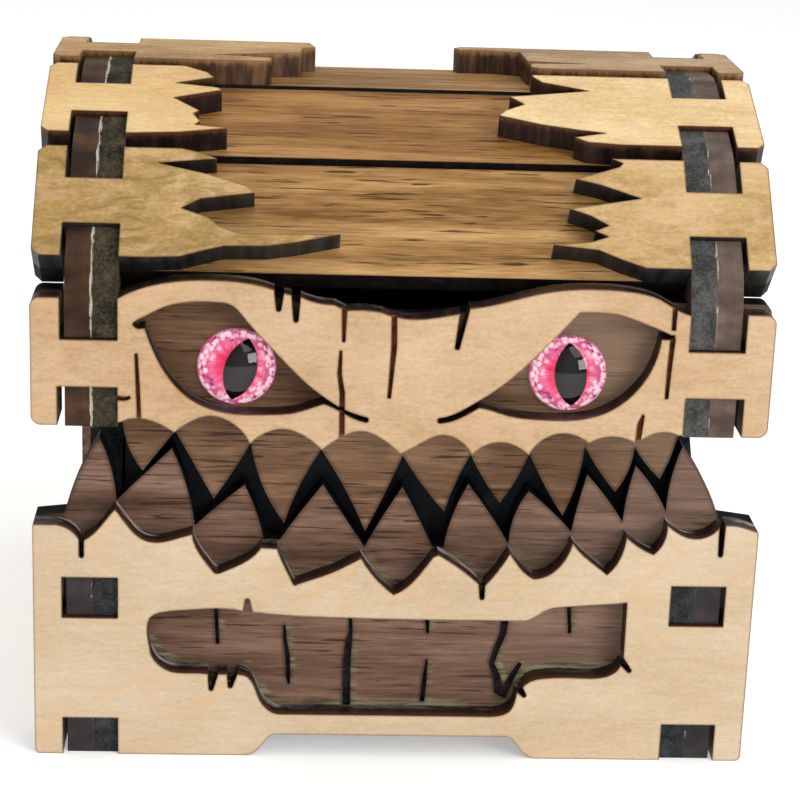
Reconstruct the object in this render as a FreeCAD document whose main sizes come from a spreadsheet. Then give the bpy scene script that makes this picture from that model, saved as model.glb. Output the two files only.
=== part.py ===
"""Dice storage chest: a small hinged chest of laser-cut sheet wood.

Every wall is two sheets thick: birch plywood outside, walnut-faced board inside.
The lid arches over in five planks, and its teeth close between the teeth of the base.

Frame: +Z up, +X to the right seen from the front, the front faces -Y.
The origin is on the ground, at the middle of the overall width and depth.
"""
import FreeCAD, Part
import math
import os

os.makedirs("parts", exist_ok=True)
doc = FreeCAD.newDocument("dice_chest")

# ---------------------------------------------------------------- driving dimensions (mm, degrees)
SIZES = [
    ("box_width", "90", "width across the front and back panels"),
    ("birch_thickness", "3.2", "outer sheets"),
    ("walnut_thickness", "3.2", "inner sheets"),
    ("corner_height", "60", "height of the inner corner between lid front and first plank"),
    ("plank_width", "15.6", "each lid plank, measured around the arch"),
    ("low_plank_tilt", "45", "first plank, from upright"),
    ("high_plank_tilt", "67.5", "second plank, from upright"),
    ("slot_near", "34.55", "inner edge of every tab slot, from the middle"),
    ("slot_far", "41.45", "outer edge of the tab slots, from the middle"),
    ("jaw_slot_far", "41.8", "outer edge of the slots at the lower edge of the lid front"),
    ("tab_setback", "0.7", "how far the tabs stop short of the outer face"),
    ("tab_play", "0.1", "gap above and below a tab in its slot"),
    ("notch_depth", "4.6", "notches in the long edges of the planks"),
    ("mid_slot_low", "18.6", "slots half way up the base"),
    ("mid_slot_high", "24", ""),
    ("foot_slot_high", "5", "slots open at the foot of the base"),
    ("jaw_edge", "43.8", "lower edge of the lid front"),
    ("jaw_slot_high", "48.7", "slots open at the lower edge of the lid front"),
    ("brow_slot_low", "54.6", "slots open at the upper edge of the lid front"),
    ("arch_rise", "3", "clearance under the panels between the feet"),
    ("parting_height", "37.4", "height of the hinge axis and of the rear parting line"),
    ("parting_gap", "0.4", "gap between base and lid along the rear parting line"),
    ("floor_height", "5.4", "underside of the floor"),
    ("crack_depth", "0.8", "engraved cracks"),
    ("slit_width", "0.6", "cut slits, at their round ends"),
    ("card_thickness", "1.2", "dice tray of black card"),
    ("tray_play", "0.5", "gap between the tray and the side walls"),
    ("tray_end_play", "0.8", "gap between the tray and the front and back walls"),
    ("tray_top", "42.5", "upper edge of the tray"),
    ("eye_radius", "4.85", "glass eyes"),
    ("eye_dome", "2.7", "height of a glass eye"),
    ("iris_thickness", "0.25", "printed disc under a glass eye"),
    ("eye_spread", "20.3", "eye centre, from the middle"),
    ("eye_height", "50.75", "eye centre, from the ground"),
    ("leaf_width", "14", "hinge leaf, along the axis"),
    ("leaf_height", "10", "hinge leaf, from the axis to its far edge"),
    ("leaf_thickness", "0.8", ""),
    ("barrel_radius", "1.5", "hinge knuckles"),
    ("barrel_offset", "1.9", "hinge axis, from the back face"),
    ("pin_radius", "0.6", "hinge pin"),
    ("pin_play", "0.05", "running fit of the lid knuckle on the pin"),
    ("hinge_spread", "20", "hinge centre, from the middle"),
    ("screw_head_radius", "1.3", ""),
    ("screw_head_height", "0.7", ""),
    ("screw_radius", "0.7", ""),
    ("screw_length", "3.6", "below the head"),
    ("screw_spread", "4.5", "screws, from the middle of the leaf"),
    ("screw_drop", "6.4", "screws, from the hinge axis"),
]
sheet = doc.addObject("Spreadsheet::Sheet", "Sizes")
for row, (alias, value, note) in enumerate(SIZES, start=1):
    sheet.set(f"A{row}", alias)
    sheet.set(f"B{row}", value)
    sheet.set(f"C{row}", note)
    sheet.setAlias(f"B{row}", alias)
doc.recompute()


def size(alias):
    """Value of one driving dimension."""
    return float(sheet.get(alias))


# ---------------------------------------------------------------- worked-out dimensions
BIRCH = size("birch_thickness")
WALNUT = size("walnut_thickness")
WALL = BIRCH + WALNUT
HALF_WIDTH = size("box_width") / 2
NEAR, FAR = size("slot_near"), size("slot_far")
JAW_FAR = size("jaw_slot_far")
PLANK = size("plank_width")
NOTCH = size("notch_depth")
CORNER = size("corner_height")
TAB_REACH = WALL - size("tab_setback")
PLAY = size("tab_play")
LOW, HIGH = size("low_plank_tilt"), size("high_plank_tilt")
PARTING = size("parting_height")
BASE_TOP = PARTING - size("parting_gap") / 2
LID_BOTTOM = PARTING + size("parting_gap") / 2

# Tilt of each plank from upright, front to back over the arch.
PLANK_TILTS = {
    "front_low": LOW,
    "front_high": HIGH,
    "top": 90.0,
    "back_high": 180.0 - HIGH,
    "back_low": 180.0 - LOW,
}


def along(tilt):
    """Unit (y, z) direction up and over a plank."""
    return math.sin(math.radians(tilt)), math.cos(math.radians(tilt))


def outward(tilt):
    """Unit (y, z) direction out of a plank."""
    return -math.cos(math.radians(tilt)), math.sin(math.radians(tilt))


ARCH_SPAN = sum(PLANK * along(tilt)[0] for tilt in PLANK_TILTS.values())
FACE = ARCH_SPAN / 2 + WALL          # front face at -FACE, back face at +FACE
INSIDE = FACE - WALL                 # inner faces of the front and back walls
HINGE_Y = FACE + size("barrel_offset")
# The hinge stands out behind, so the wooden box sits a little forward of the middle.
SHIFT = -(size("barrel_offset") + size("barrel_radius")) / 2

# Inner corners of the arch, where the walnut planks meet edge to edge.
corners = [(-INSIDE, CORNER)]
for tilt in PLANK_TILTS.values():
    y, z = corners[-1]
    dy, dz = along(tilt)
    corners.append((y + PLANK * dy, z + PLANK * dz))


# ---------------------------------------------------------------- outline helpers
def straight(*points):
    """Straight edges through the points."""
    return [Part.LineSegment(FreeCAD.Vector(*a, 0), FreeCAD.Vector(*b, 0))
            for a, b in zip(points, points[1:]) if a != b]


def smooth(*points):
    """One smooth edge through the points."""
    curve = Part.BSplineCurve()
    curve.interpolate([FreeCAD.Vector(*point, 0) for point in points])
    return [curve]


def bowed(start, end, bulge):
    """A shallow arc from start to end that stands out to the left by bulge."""
    if abs(bulge) < 0.05:
        return straight(start, end)
    length = math.dist(start, end)
    left_x = -(end[1] - start[1]) / length
    left_z = (end[0] - start[0]) / length
    middle = ((start[0] + end[0]) / 2 + left_x * bulge, (start[1] + end[1]) / 2 + left_z * bulge)
    return [Part.Arc(*(FreeCAD.Vector(*point, 0) for point in (start, middle, end)))]


def rounded(start, corner, end):
    """Quarter turn from start to end that hugs the corner."""
    middle = tuple(0.586 * (a + b) / 2 + 0.414 * c for a, b, c in zip(start, end, corner))
    return [Part.Arc(*(FreeCAD.Vector(*point, 0) for point in (start, middle, end)))]


def stretches(runs):
    """Edges through runs that share their ends: two points are straight, more are smooth."""
    edges = []
    for run in runs:
        edges += smooth(*run) if len(run) > 2 else straight(*run)
    return edges


def slit(start, tip, end):
    """Edges from start down one side of a slit, round its tip and back up to end."""
    root = ((start[0] + end[0]) / 2, (start[1] + end[1]) / 2)
    depth, half = math.dist(root, tip), size("slit_width") / 2
    if depth <= 2 * half:
        return [Part.Arc(*(FreeCAD.Vector(*point, 0) for point in (start, tip, end)))]
    down = ((tip[0] - root[0]) / depth, (tip[1] - root[1]) / depth)
    side = math.copysign(half, (root[0] - start[0]) * down[1] - (root[1] - start[1]) * down[0])
    first, last = ((tip[0] - half * down[0] + turn * down[1], tip[1] - half * down[1] - turn * down[0])
                   for turn in (-side, side))
    bottom = Part.Arc(*(FreeCAD.Vector(*point, 0) for point in (first, tip, last)))
    return straight(start, first) + [bottom] + straight(last, end)


def split_edge(runs, tips):
    """Edges through runs. Where two don't meet, the slit to the tip given for its start joins them."""
    edges = stretches(runs[:1])
    for before, run in zip(runs, runs[1:]):
        start, end = before[-1], run[0]
        edges += slit(start, tips[start], end) if start in tips else straight(start, end)
        edges += stretches([run])
    return edges


def rectangle(x_low, x_high, z_low, z_high):
    """Closed rectangle."""
    return straight((x_low, z_low), (x_high, z_low), (x_high, z_high), (x_low, z_high), (x_low, z_low))


def both_sides(z_low, z_high):
    """The left and right tab slots between two heights."""
    return rectangle(-FAR, -NEAR, z_low, z_high) + rectangle(NEAR, FAR, z_low, z_high)


def circle(x, z, radius):
    """Closed circle."""
    return [Part.Circle(FreeCAD.Vector(x, z, 0), FreeCAD.Vector(0, 0, 1), radius)]


def crack(points):
    """Closed strip along the points, each given with the strip's width there, square at both ends."""
    left, right = [], []
    for index, (x, z, width) in enumerate(points):
        before, after = points[max(index - 1, 0)], points[min(index + 1, len(points) - 1)]
        run_x, run_z = after[0] - before[0], after[1] - before[1]
        half = width / 2 / math.hypot(run_x, run_z)
        left.append((x - run_z * half, z + run_x * half))
        right.append((x + run_z * half, z - run_x * half))
    return straight(*left, *reversed(right), left[0])


# ---------------------------------------------------------------- document helpers
def plane_of(body, role):
    """One of the body's own origin planes."""
    return next(feature for feature in body.Origin.OriginFeatures if feature.Role == role)


def sheet_body(label, role, outline, thickness, y=None, x=None, tilt=None, origin=(0, 0)):
    """Body cut from one sheet: its outline, padded by the sheet's thickness.

    role is the sketch plane. y and x are spreadsheet expressions for the place of that plane,
    and a tilted sheet turns about X and starts at the (y, z) of origin.
    """
    body = doc.addObject("PartDesign::Body", label)
    body.Label = label
    sketch = body.newObject("Sketcher::SketchObject", label + "_outline")
    sketch.AttachmentSupport = (plane_of(body, role), [""])
    sketch.MapMode = "FlatFace"
    sketch.addGeometry(outline, False)
    pad = body.newObject("PartDesign::Pad", label + "_sheet")
    pad.Profile = sketch
    pad.setExpression("Length", "Sizes." + thickness)
    turn = FreeCAD.Rotation(FreeCAD.Vector(1, 0, 0), 0 if tilt is None else 90 - tilt)
    body.Placement = FreeCAD.Placement(FreeCAD.Vector(0, origin[0] + SHIFT, origin[1]), turn)
    if y is not None:
        body.setExpression("Placement.Base.y", y)
    if x is not None:
        body.setExpression("Placement.Base.x", x)
    return body


def engrave(body, cracks, thickness):
    """Shallow cracks cut into the outer face of an upright sheet."""
    for index, points in enumerate(cracks, start=1):
        sketch = body.newObject("Sketcher::SketchObject", f"{body.Label}_crack_{index}")
        sketch.AttachmentSupport = (plane_of(body, "XZ_Plane"), [""])
        sketch.MapMode = "FlatFace"
        sketch.setExpression("AttachmentOffset.Base.z", "Sizes." + thickness)
        sketch.addGeometry(crack(points), False)
        pocket = body.newObject("PartDesign::Pocket", f"{body.Label}_groove_{index}")
        pocket.Profile = sketch
        pocket.setExpression("Length", "Sizes.crack_depth")


# An upright sheet's sketch plane is its rear face; the sheet grows towards -Y.
FRONT_OUTER = f"{-FACE + SHIFT} + Sizes.birch_thickness"
FRONT_INNER = f"{-FACE + SHIFT} + Sizes.birch_thickness + Sizes.walnut_thickness"
BACK_OUTER = f"{FACE + SHIFT}"
BACK_INNER = f"{FACE + SHIFT} - Sizes.birch_thickness"

parts = []


# ---------------------------------------------------------------- teeth
# Each tooth: left root, tip, right root, and how far its left and right edges bow out.
LOWER_TEETH = [
    ((-41.3, 31.3), (-37.0, 41.3), (-34.9, 33.1), 0.4, 0.4),
    ((-34.9, 33.1), (-28.1, 40.0), (-25.2, 29.9), 0.0, 0.4),
    ((-25.2, 29.9), (-19.1, 35.4), (-16.6, 28.2), 0.1, 0.25),
    ((-14.6, 28.2), (-9.4, 35.6), (-4.0, 27.4), 0.1, 0.0),
    ((-4.0, 27.4), (0.5, 35.5), (4.5, 27.5), 0.1, 0.1),
    ((5.9, 27.5), (8.7, 36.0), (14.1, 28.1), 0.4, 0.15),
    ((14.1, 28.1), (16.3, 35.2), (21.9, 29.9), 0.6, 0.15),
    ((21.9, 29.9), (23.5, 37.5), (28.3, 31.3), 0.1, 0.2),
    ((28.3, 31.3), (29.5, 38.8), (33.7, 32.8), 0.2, 0.3),
    ((33.7, 32.8), (35.2, 41.4), (40.4, 32.0), 0.4, 0.5),
]
UPPER_TEETH = [
    ((-34.2, 43.6), (-31.7, 37.0), (-27.7, 42.3), 0.5, 0.0),
    ((-27.7, 42.3), (-22.9, 33.5), (-18.4, 40.9), 0.0, 0.1),
    ((-18.4, 40.9), (-14.1, 30.4), (-9.7, 40.2), 0.7, -0.4),
    ((-9.7, 40.2), (-4.0, 29.5), (0.4, 39.6), -0.3, 0.1),
    ((0.4, 39.6), (5.8, 32.3), (8.8, 39.9), 0.2, -0.2),
    ((8.8, 39.9), (12.7, 33.6), (16.1, 40.2), 0.2, 0.3),
    ((16.1, 40.2), (20.7, 32.0), (23.0, 41.2), 0.2, 0.4),
    ((23.0, 41.2), (27.1, 35.3), (29.2, 41.3), 0.2, 0.5),
    ((29.2, 41.3), (32.6, 37.1), (34.4, 42.6), 0.2, 0.2),
]
# Teeth of the side walls, from front to back: left root, tip, right root.
SIDE_LOWER_TEETH = [
    ((-INSIDE, 32.6), (-26.5, 40.2), (-21.5, 30.6), 0.3, 0.3),
    ((-21.5, 30.6), (-16.5, 39.6), (-11.0, 30.6), 0.1, 0.3),
    ((-11.0, 30.6), (-6.0, 39.2), (-0.5, 31.0), 0.1, 0.3),
    ((-0.5, 31.0), (4.5, 39.4), (9.5, 32.4), 0.1, 0.2),
    ((9.5, 32.4), (13.5, 39.0), (17.5, 35.4), 0.1, 0.1),
]
SIDE_UPPER_TEETH = [
    ((-25.4, 42.8), (-21.2, 33.0), (-17.6, 42.4), 0.1, 0.3),
    ((-15.4, 42.4), (-10.8, 33.0), (-7.2, 42.2), 0.1, 0.3),
    ((-4.9, 42.2), (-0.3, 33.4), (3.3, 42.0), 0.1, 0.3),
    ((5.7, 41.8), (9.7, 34.8), (12.3, 41.4), 0.1, 0.1),
]


def teeth_edge(teeth, side):
    """Edges along a row of teeth, left to right. side is 1 for teeth that point up, -1 for down."""
    edges = []
    for index, (left, tip, right, left_bow, right_bow) in enumerate(teeth):
        if index and teeth[index - 1][2] != left:
            edges += straight(teeth[index - 1][2], left)
        edges += bowed(left, tip, side * left_bow)
        edges += bowed(tip, right, side * right_bow)
    return edges


# ---------------------------------------------------------------- base: front wall
FOOT_CORNER = 0.8
# From the arch down to the right foot: distance from the middle, and share of the arch's rise.
FOOT_CURVE = [(14.6, 1.0), (15.4, 0.9), (16.4, 0.47), (17.6, 0.1), (18.6, 0.0)]


def feet():
    """Lower edge of an upright panel, left to right: slots, feet and the arch between them."""
    slot, rise = size("foot_slot_high"), size("arch_rise")
    curve = [(x, share * rise) for x, share in FOOT_CURVE]
    mirror = [(-x, z) for x, z in reversed(curve)]
    flat_end = HALF_WIDTH - FOOT_CORNER
    edges = rounded((-HALF_WIDTH, FOOT_CORNER), (-HALF_WIDTH, 0), (-flat_end, 0))
    edges += straight((-flat_end, 0), (-FAR, 0), (-FAR, slot), (-NEAR, slot), (-NEAR, 0), mirror[0])
    edges += smooth(*mirror) + straight(mirror[-1], curve[0]) + smooth(*curve)
    edges += straight(curve[-1], (NEAR, 0), (NEAR, slot), (FAR, slot), (FAR, 0), (flat_end, 0))
    edges += rounded((flat_end, 0), (HALF_WIDTH, 0), (HALF_WIDTH, FOOT_CORNER))
    return edges


# Upper edge of the birch front, left to right: one dip under each lower tooth.
LOWER_LIP = [
    [(-44.8, 30.9), (-42.0, 30.9)],
    [(-42.0, 30.9), (-40.5, 30.3), (-39.3, 29.0)],
    [(-38.7, 28.9), (-37.5, 29.8), (-36.3, 31.2), (-34.9, 33.0)],
    [(-34.9, 33.0), (-33.5, 31.1), (-31.9, 29.4), (-30.3, 28.8), (-28.0, 29.1), (-25.4, 29.9)],
    [(-25.4, 29.9), (-25.1, 28.6), (-24.2, 26.9), (-22.7, 24.9)],
    [(-22.7, 24.9), (-22.4, 24.8), (-21.8, 24.9)],
    [(-21.8, 24.9), (-19.5, 26.0), (-18.0, 27.0), (-16.9, 28.3)],
    [(-16.9, 28.3), (-14.9, 28.2)],
    [(-14.9, 28.2), (-14.6, 27.3), (-13.5, 24.9), (-12.9, 23.6)],
    [(-12.9, 23.6), (-12.7, 23.4), (-12.3, 23.5)],
    [(-12.3, 23.5), (-11.0, 24.0), (-8.6, 24.9), (-6.2, 26.1), (-4.5, 27.1)],
    [(-4.5, 27.1), (-2.4, 24.2), (-0.3, 22.3)],
    [(-0.3, 22.3), (0.8, 22.9), (2.9, 25.1), (4.5, 27.4)],
    [(5.1, 27.7), (7.6, 26.1), (10.3, 23.9)],
    [(11.1, 23.7), (12.9, 26.1), (14.0, 28.0)],
    [(14.0, 28.0), (14.7, 27.0), (16.3, 25.2), (17.2, 24.7)],
    [(17.2, 24.7), (19.4, 25.5), (21.0, 27.4), (21.8, 29.5)],
    [(21.8, 29.5), (23.1, 28.0), (25.3, 26.2), (26.3, 25.4)],
    [(26.3, 25.4), (27.5, 26.9), (28.2, 28.7), (28.5, 30.4)],
    [(28.5, 30.4), (30.0, 29.2), (32.0, 28.2)],
    [(32.0, 28.2), (32.9, 29.3), (33.5, 32.1)],
    [(33.5, 32.1), (35.2, 30.9), (36.8, 30.4), (38.8, 30.8), (40.0, 31.9)],
    [(40.8, 32.2), (42.0, 32.2), (43.3, 31.9), (44.8, 31.4)],
]
# Slits in an edge: the point where each starts, and its tip.
LIP_SLITS = {(-39.3, 29.0): (-39.0, 26.6), (10.3, 23.9): (10.8, 21.8), (40.0, 31.9): (40.4, 28.0)}

# Recess in the base front, clockwise from its left end.
CHIN = [
    [(-30.6, 14.8), (-30.9, 17.2), (-30.4, 18.9), (-29.0, 19.5), (-25.4, 19.9), (-22.9, 20.1),
     (-19.0, 19.8)],
    [(-17.8, 19.7), (-13.3, 19.3), (-6.8, 19.1), (0.3, 19.0), (8.5, 19.0), (16.5, 19.0)],
    [(16.5, 19.0), (17.8, 19.7), (19.0, 20.5), (21.5, 21.0), (25.1, 21.3), (29.1, 21.7)],
    [(29.1, 21.7), (29.1, 14.2)],
    [(28.8, 13.1), (28.2, 12.2), (26.9, 11.5), (23.9, 11.3), (19.3, 11.2), (17.6, 10.8), (16.5, 9.9)],
    [(15.8, 9.2), (15.6, 7.9), (14.9, 6.5), (13.9, 6.0), (12.0, 5.8)],
    [(12.0, 5.8), (-14.0, 5.8)],
    [(-14.0, 5.8), (-15.6, 6.3), (-16.7, 7.6), (-17.4, 9.4), (-18.2, 10.7), (-19.6, 11.2)],
    [(-20.9, 11.2), (-22.0, 11.2)],
    [(-23.3, 11.2), (-25.6, 11.3), (-28.0, 11.5), (-29.8, 12.7), (-30.6, 14.8)],
]
CHIN_SLITS = {
    (-19.0, 19.8): (-18.5, 21.5),
    (29.1, 14.2): (30.1, 12.2),
    (16.5, 9.9): (16.9, 8.6),
    (-19.6, 11.2): (-20.5, 9.3),
    (-22.0, 11.2): (-22.9, 8.9),
}

# Where the upper edge of the base front starts and ends.
LEFT_SHOULDER, RIGHT_SHOULDER = LOWER_LIP[0][0], LOWER_LIP[-1][-1]


def front_ends(corner=0.2):
    """The two upright ends of the base front, from the feet up to the shoulders."""
    edges = []
    for side, shoulder in ((1, RIGHT_SHOULDER), (-1, LEFT_SHOULDER)):
        end = side * HALF_WIDTH
        edges += straight((end, FOOT_CORNER), (end, shoulder[1] - corner))
        edges += rounded((end, shoulder[1] - corner), (end, shoulder[1]), shoulder)
    return edges


# Engraved cracks: points along each, with the crack's width there.
CHIN_CRACKS = [
    [(-22.5, 19.6, 0.5), (-22.2, 14.0, 0.45)],
    [(-13.8, 16.7, 0.25), (-13.7, 14.7, 0.5), (-13.3, 12.2, 0.6), (-13.2, 9.8, 0.6), (-13.1, 8.6, 0.3)],
    [(-5.5, 18.8, 0.4), (-5.4, 15.8, 0.5), (-5.6, 14.7, 0.85), (-5.8, 11.9, 1.0), (-5.7, 5.6, 1.0)],
    [(4.2, 18.8, 0.7), (4.4, 15.8, 0.3)],
    [(4.4, 12.2, 0.25), (4.2, 9.4, 0.6), (4.0, 6.4, 0.6)],
    [(14.2, 18.8, 1.0), (14.0, 16.0, 0.85), (13.2, 13.7, 0.8), (12.7, 11.8, 0.75), (13.4, 10.0, 1.0),
     (13.9, 7.7, 1.3)],
    [(16.4, 11.9, 0.5), (15.5, 10.2, 0.8), (14.7, 8.4, 1.0), (14.1, 7.2, 1.2)],
    [(22.1, 20.8, 0.5), (22.5, 16.1, 0.4)],
]


def base_front():
    """Birch front with lip, recess and slots, and the walnut sheet with the lower teeth."""
    slots = both_sides(size("mid_slot_low"), size("mid_slot_high"))
    outer = sheet_body("base_front_outer", "XZ_Plane",
                       feet() + front_ends() + split_edge(LOWER_LIP, LIP_SLITS) + slots
                       + split_edge(CHIN, CHIN_SLITS),
                       "birch_thickness", y=FRONT_OUTER)
    top = straight(LEFT_SHOULDER, LOWER_TEETH[0][0]) + teeth_edge(LOWER_TEETH, 1)
    top += straight(LOWER_TEETH[-1][2], RIGHT_SHOULDER)
    inner = sheet_body("base_front_teeth", "XZ_Plane", feet() + front_ends() + top + slots,
                       "walnut_thickness", y=FRONT_INNER)
    engrave(inner, CHIN_CRACKS, "walnut_thickness")
    parts.extend([outer, inner])


# ---------------------------------------------------------------- base: back, sides, floor
SCREWS = [(side * size("hinge_spread") + step * size("screw_spread"), level * size("screw_drop"))
          for side in (-1, 1) for level in (-1, 1) for step in (-1, 1)]


def screw_holes(level):
    """Closed circles for the hinge screws below (-1) or above (1) the hinge axis."""
    edges = []
    for x, drop in SCREWS:
        if drop * level > 0:
            edges += circle(x, PARTING + drop, size("screw_radius"))
    return edges


def base_back():
    """Plain birch and walnut sheets behind, up to the rear parting line."""
    slots = both_sides(size("mid_slot_low"), size("mid_slot_high"))
    ends = straight((HALF_WIDTH, FOOT_CORNER), (HALF_WIDTH, BASE_TOP), (-HALF_WIDTH, BASE_TOP),
                    (-HALF_WIDTH, FOOT_CORNER))
    parts.append(sheet_body("base_back_outer", "XZ_Plane", feet() + ends + slots + screw_holes(-1),
                            "birch_thickness", y=BACK_OUTER))
    parts.append(sheet_body("base_back_inner", "XZ_Plane", feet() + ends + slots,
                            "walnut_thickness", y=BACK_INNER))


def tab(direction, low, high):
    """Points around one tab on the front (-1) or back (1) edge of a side sheet, low to high."""
    edge, end = direction * INSIDE, direction * (INSIDE + TAB_REACH)
    return [(edge, low), (end, low), (end, high), (edge, high)]


SIDE_FOOT, SIDE_ARCH = 18.0, 15.0    # inner end of a side foot, and end of the level arch above it


def base_side_lower_edge():
    """Front edge, feet and back edge of a side sheet of the base, ending at the back."""
    low, high = size("mid_slot_low") + PLAY, size("mid_slot_high") - PLAY
    foot = size("foot_slot_high") - PLAY
    rise = size("arch_rise")
    front = list(reversed(tab(-1, low, high)))
    front += [(-INSIDE, foot), (-INSIDE - TAB_REACH, foot), (-INSIDE - TAB_REACH, 0), (-SIDE_FOOT, 0)]
    back = [(SIDE_FOOT, 0), (INSIDE + TAB_REACH, 0), (INSIDE + TAB_REACH, foot), (INSIDE, foot)]
    return front, [(-SIDE_ARCH, rise), (SIDE_ARCH, rise)], back + tab(1, low, high)


# The mouth runs back along the sides and closes on the parting line: y of its corner in the birch,
# and of the last lower and upper tooth in the walnut.
MOUTH_CORNER, LOWER_TEETH_END, UPPER_TEETH_END = 21.5, 20.0, 19.0
SIDE_LIP = [
    [(-INSIDE, 31.0), (-30.0, 28.6), (-26.0, 27.6), (-21.6, 30.2)],
    [(-21.6, 30.2), (-19.0, 27.2), (-16.0, 26.6), (-11.0, 30.2)],
    [(-11.0, 30.2), (-8.6, 27.6), (-5.6, 26.8), (-0.5, 30.6)],
    [(-0.5, 30.6), (1.8, 28.6), (4.8, 28.2), (9.6, 32.0)],
    [(9.6, 32.0), (12.0, 31.4), (15.0, 33.2), (18.6, 36.2), (MOUTH_CORNER, BASE_TOP)],
]
SIDE_JAW = [
    [(-INSIDE, 43.4), (-30.0, 44.8), (-27.6, 45.2), (-25.6, 43.6)],
    [(-25.6, 43.6), (-22.0, 45.6), (-19.0, 45.2), (-16.4, 43.2)],
    [(-16.4, 43.2), (-12.0, 45.4), (-8.8, 44.8), (-6.0, 43.0)],
    [(-6.0, 43.0), (-1.6, 45.2), (1.8, 44.6), (4.4, 42.8)],
    [(4.4, 42.8), (9.0, 44.0), (12.0, 42.4), (16.0, 39.6), (MOUTH_CORNER, LID_BOTTOM)],
]


def side_sheets(name, outer_outline, inner_outline):
    """Outer birch and inner walnut sheets of the left and right walls."""
    for side, word in ((-1, "left"), (1, "right")):
        middle = NEAR + WALNUT
        outer_x = f"{middle}" if side > 0 else f"{-middle} - Sizes.birch_thickness"
        inner_x = f"{NEAR}" if side > 0 else f"{-NEAR} - Sizes.walnut_thickness"
        parts.append(sheet_body(f"{name}_side_{word}_outer", "YZ_Plane", outer_outline(),
                                "birch_thickness", x=outer_x))
        parts.append(sheet_body(f"{name}_side_{word}_teeth", "YZ_Plane", inner_outline(),
                                "walnut_thickness", x=inner_x))


FLOOR_TAB_MIDDLE, FLOOR_TAB_HALF = 16.0, 5.0


def floor_slots():
    """Closed slots in a side sheet for the tabs of the floor."""
    low, edges = size("floor_height"), []
    for middle in (-FLOOR_TAB_MIDDLE, FLOOR_TAB_MIDDLE):
        edges += rectangle(middle - FLOOR_TAB_HALF - PLAY, middle + FLOOR_TAB_HALF + PLAY,
                           low, low + WALNUT)
    return edges


def base_side_outer():
    """Birch side of the base: the mouth's lower lip runs back and rises to the parting line."""
    front, under, back = base_side_lower_edge()
    edges = straight(SIDE_LIP[0][0], *front, *under, *back, (INSIDE, BASE_TOP), (MOUTH_CORNER, BASE_TOP))
    for dip in SIDE_LIP:
        edges += smooth(*dip)
    return edges + floor_slots()


def base_side_inner():
    """Walnut side of the base with its teeth."""
    front, under, back = base_side_lower_edge()
    corner = (LOWER_TEETH_END, BASE_TOP)
    edges = straight(SIDE_LOWER_TEETH[0][0], *front, *under, *back, (INSIDE, BASE_TOP), corner)
    edges += teeth_edge(SIDE_LOWER_TEETH, 1) + straight(SIDE_LOWER_TEETH[-1][2], corner)
    return edges + floor_slots()


def base_floor():
    """Floor sheet, held by tabs in the side walls."""
    reach, end = NEAR + WALL - 2 * PLAY, INSIDE - PLAY
    right = []
    for middle in (-FLOOR_TAB_MIDDLE, FLOOR_TAB_MIDDLE):
        low, high = middle - FLOOR_TAB_HALF, middle + FLOOR_TAB_HALF
        right += [(NEAR, low), (reach, low), (reach, high), (NEAR, high)]
    corner = [(NEAR, -end)]
    loop = corner + right + [(NEAR, end)]
    loop += [(-x, y) for x, y in reversed(loop)]
    body = sheet_body("base_floor", "XY_Plane", straight(*loop, loop[0]), "walnut_thickness")
    body.setExpression("Placement.Base.z", "Sizes.floor_height")
    parts.append(body)


# ---------------------------------------------------------------- dice tray
def tray():
    """Loose tray of black card that lines the base and rises behind the lower teeth."""
    half_x, half_y = NEAR - size("tray_play"), INSIDE - size("tray_end_play")
    bottom = size("floor_height") + WALNUT
    card = size("card_thickness")
    high = size("tray_top")
    floor = sheet_body("tray_floor", "XY_Plane", rectangle(-half_x, half_x, -half_y, half_y),
                       "card_thickness")
    floor.setExpression("Placement.Base.z", "Sizes.floor_height + Sizes.walnut_thickness")
    wide = rectangle(-half_x, half_x, bottom + card, high)
    narrow = rectangle(-half_y + card, half_y - card, bottom + card, high)
    front = sheet_body("tray_front", "XZ_Plane", wide, "card_thickness",
                       y=f"{-half_y + SHIFT} + Sizes.card_thickness")
    back = sheet_body("tray_back", "XZ_Plane", wide, "card_thickness", y=f"{half_y + SHIFT}")
    left = sheet_body("tray_left", "YZ_Plane", narrow, "card_thickness", x=f"{-half_x}")
    right = sheet_body("tray_right", "YZ_Plane", narrow, "card_thickness",
                       x=f"{half_x} - Sizes.card_thickness")
    parts.extend([floor, front, back, left, right])


# ---------------------------------------------------------------- lid: front wall
LID_SCALLOPS = [
    [(-34.2, 44.3), (-31.8, 44.8), (-29.8, 44.3), (-27.7, 43.1)],
    [(-27.7, 43.1), (-25.4, 44.7), (-23.2, 45.3), (-21.1, 44.7), (-18.5, 41.8)],
    [(-18.5, 41.8), (-16.5, 43.3), (-14.3, 43.8), (-12.5, 43.3), (-9.7, 41.2)],
    [(-9.7, 41.2), (-7.2, 43.0), (-4.9, 43.7), (-2.6, 42.9), (-0.1, 40.9)],
    [(-0.1, 40.9), (2.7, 42.5), (5.3, 43.4), (7.0, 42.8), (8.7, 40.9)],
    [(8.7, 40.9), (10.4, 42.2), (12.3, 42.6), (14.0, 42.2), (15.7, 41.0)],
    [(15.7, 41.0), (17.6, 43.2), (19.7, 43.9), (21.5, 43.6), (23.0, 42.7)],
    [(23.0, 42.7), (25.0, 43.5), (27.0, 43.5), (28.9, 42.7)],
    [(28.9, 42.7), (30.6, 43.9), (32.4, 44.3), (34.0, 43.9)],
]
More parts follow.
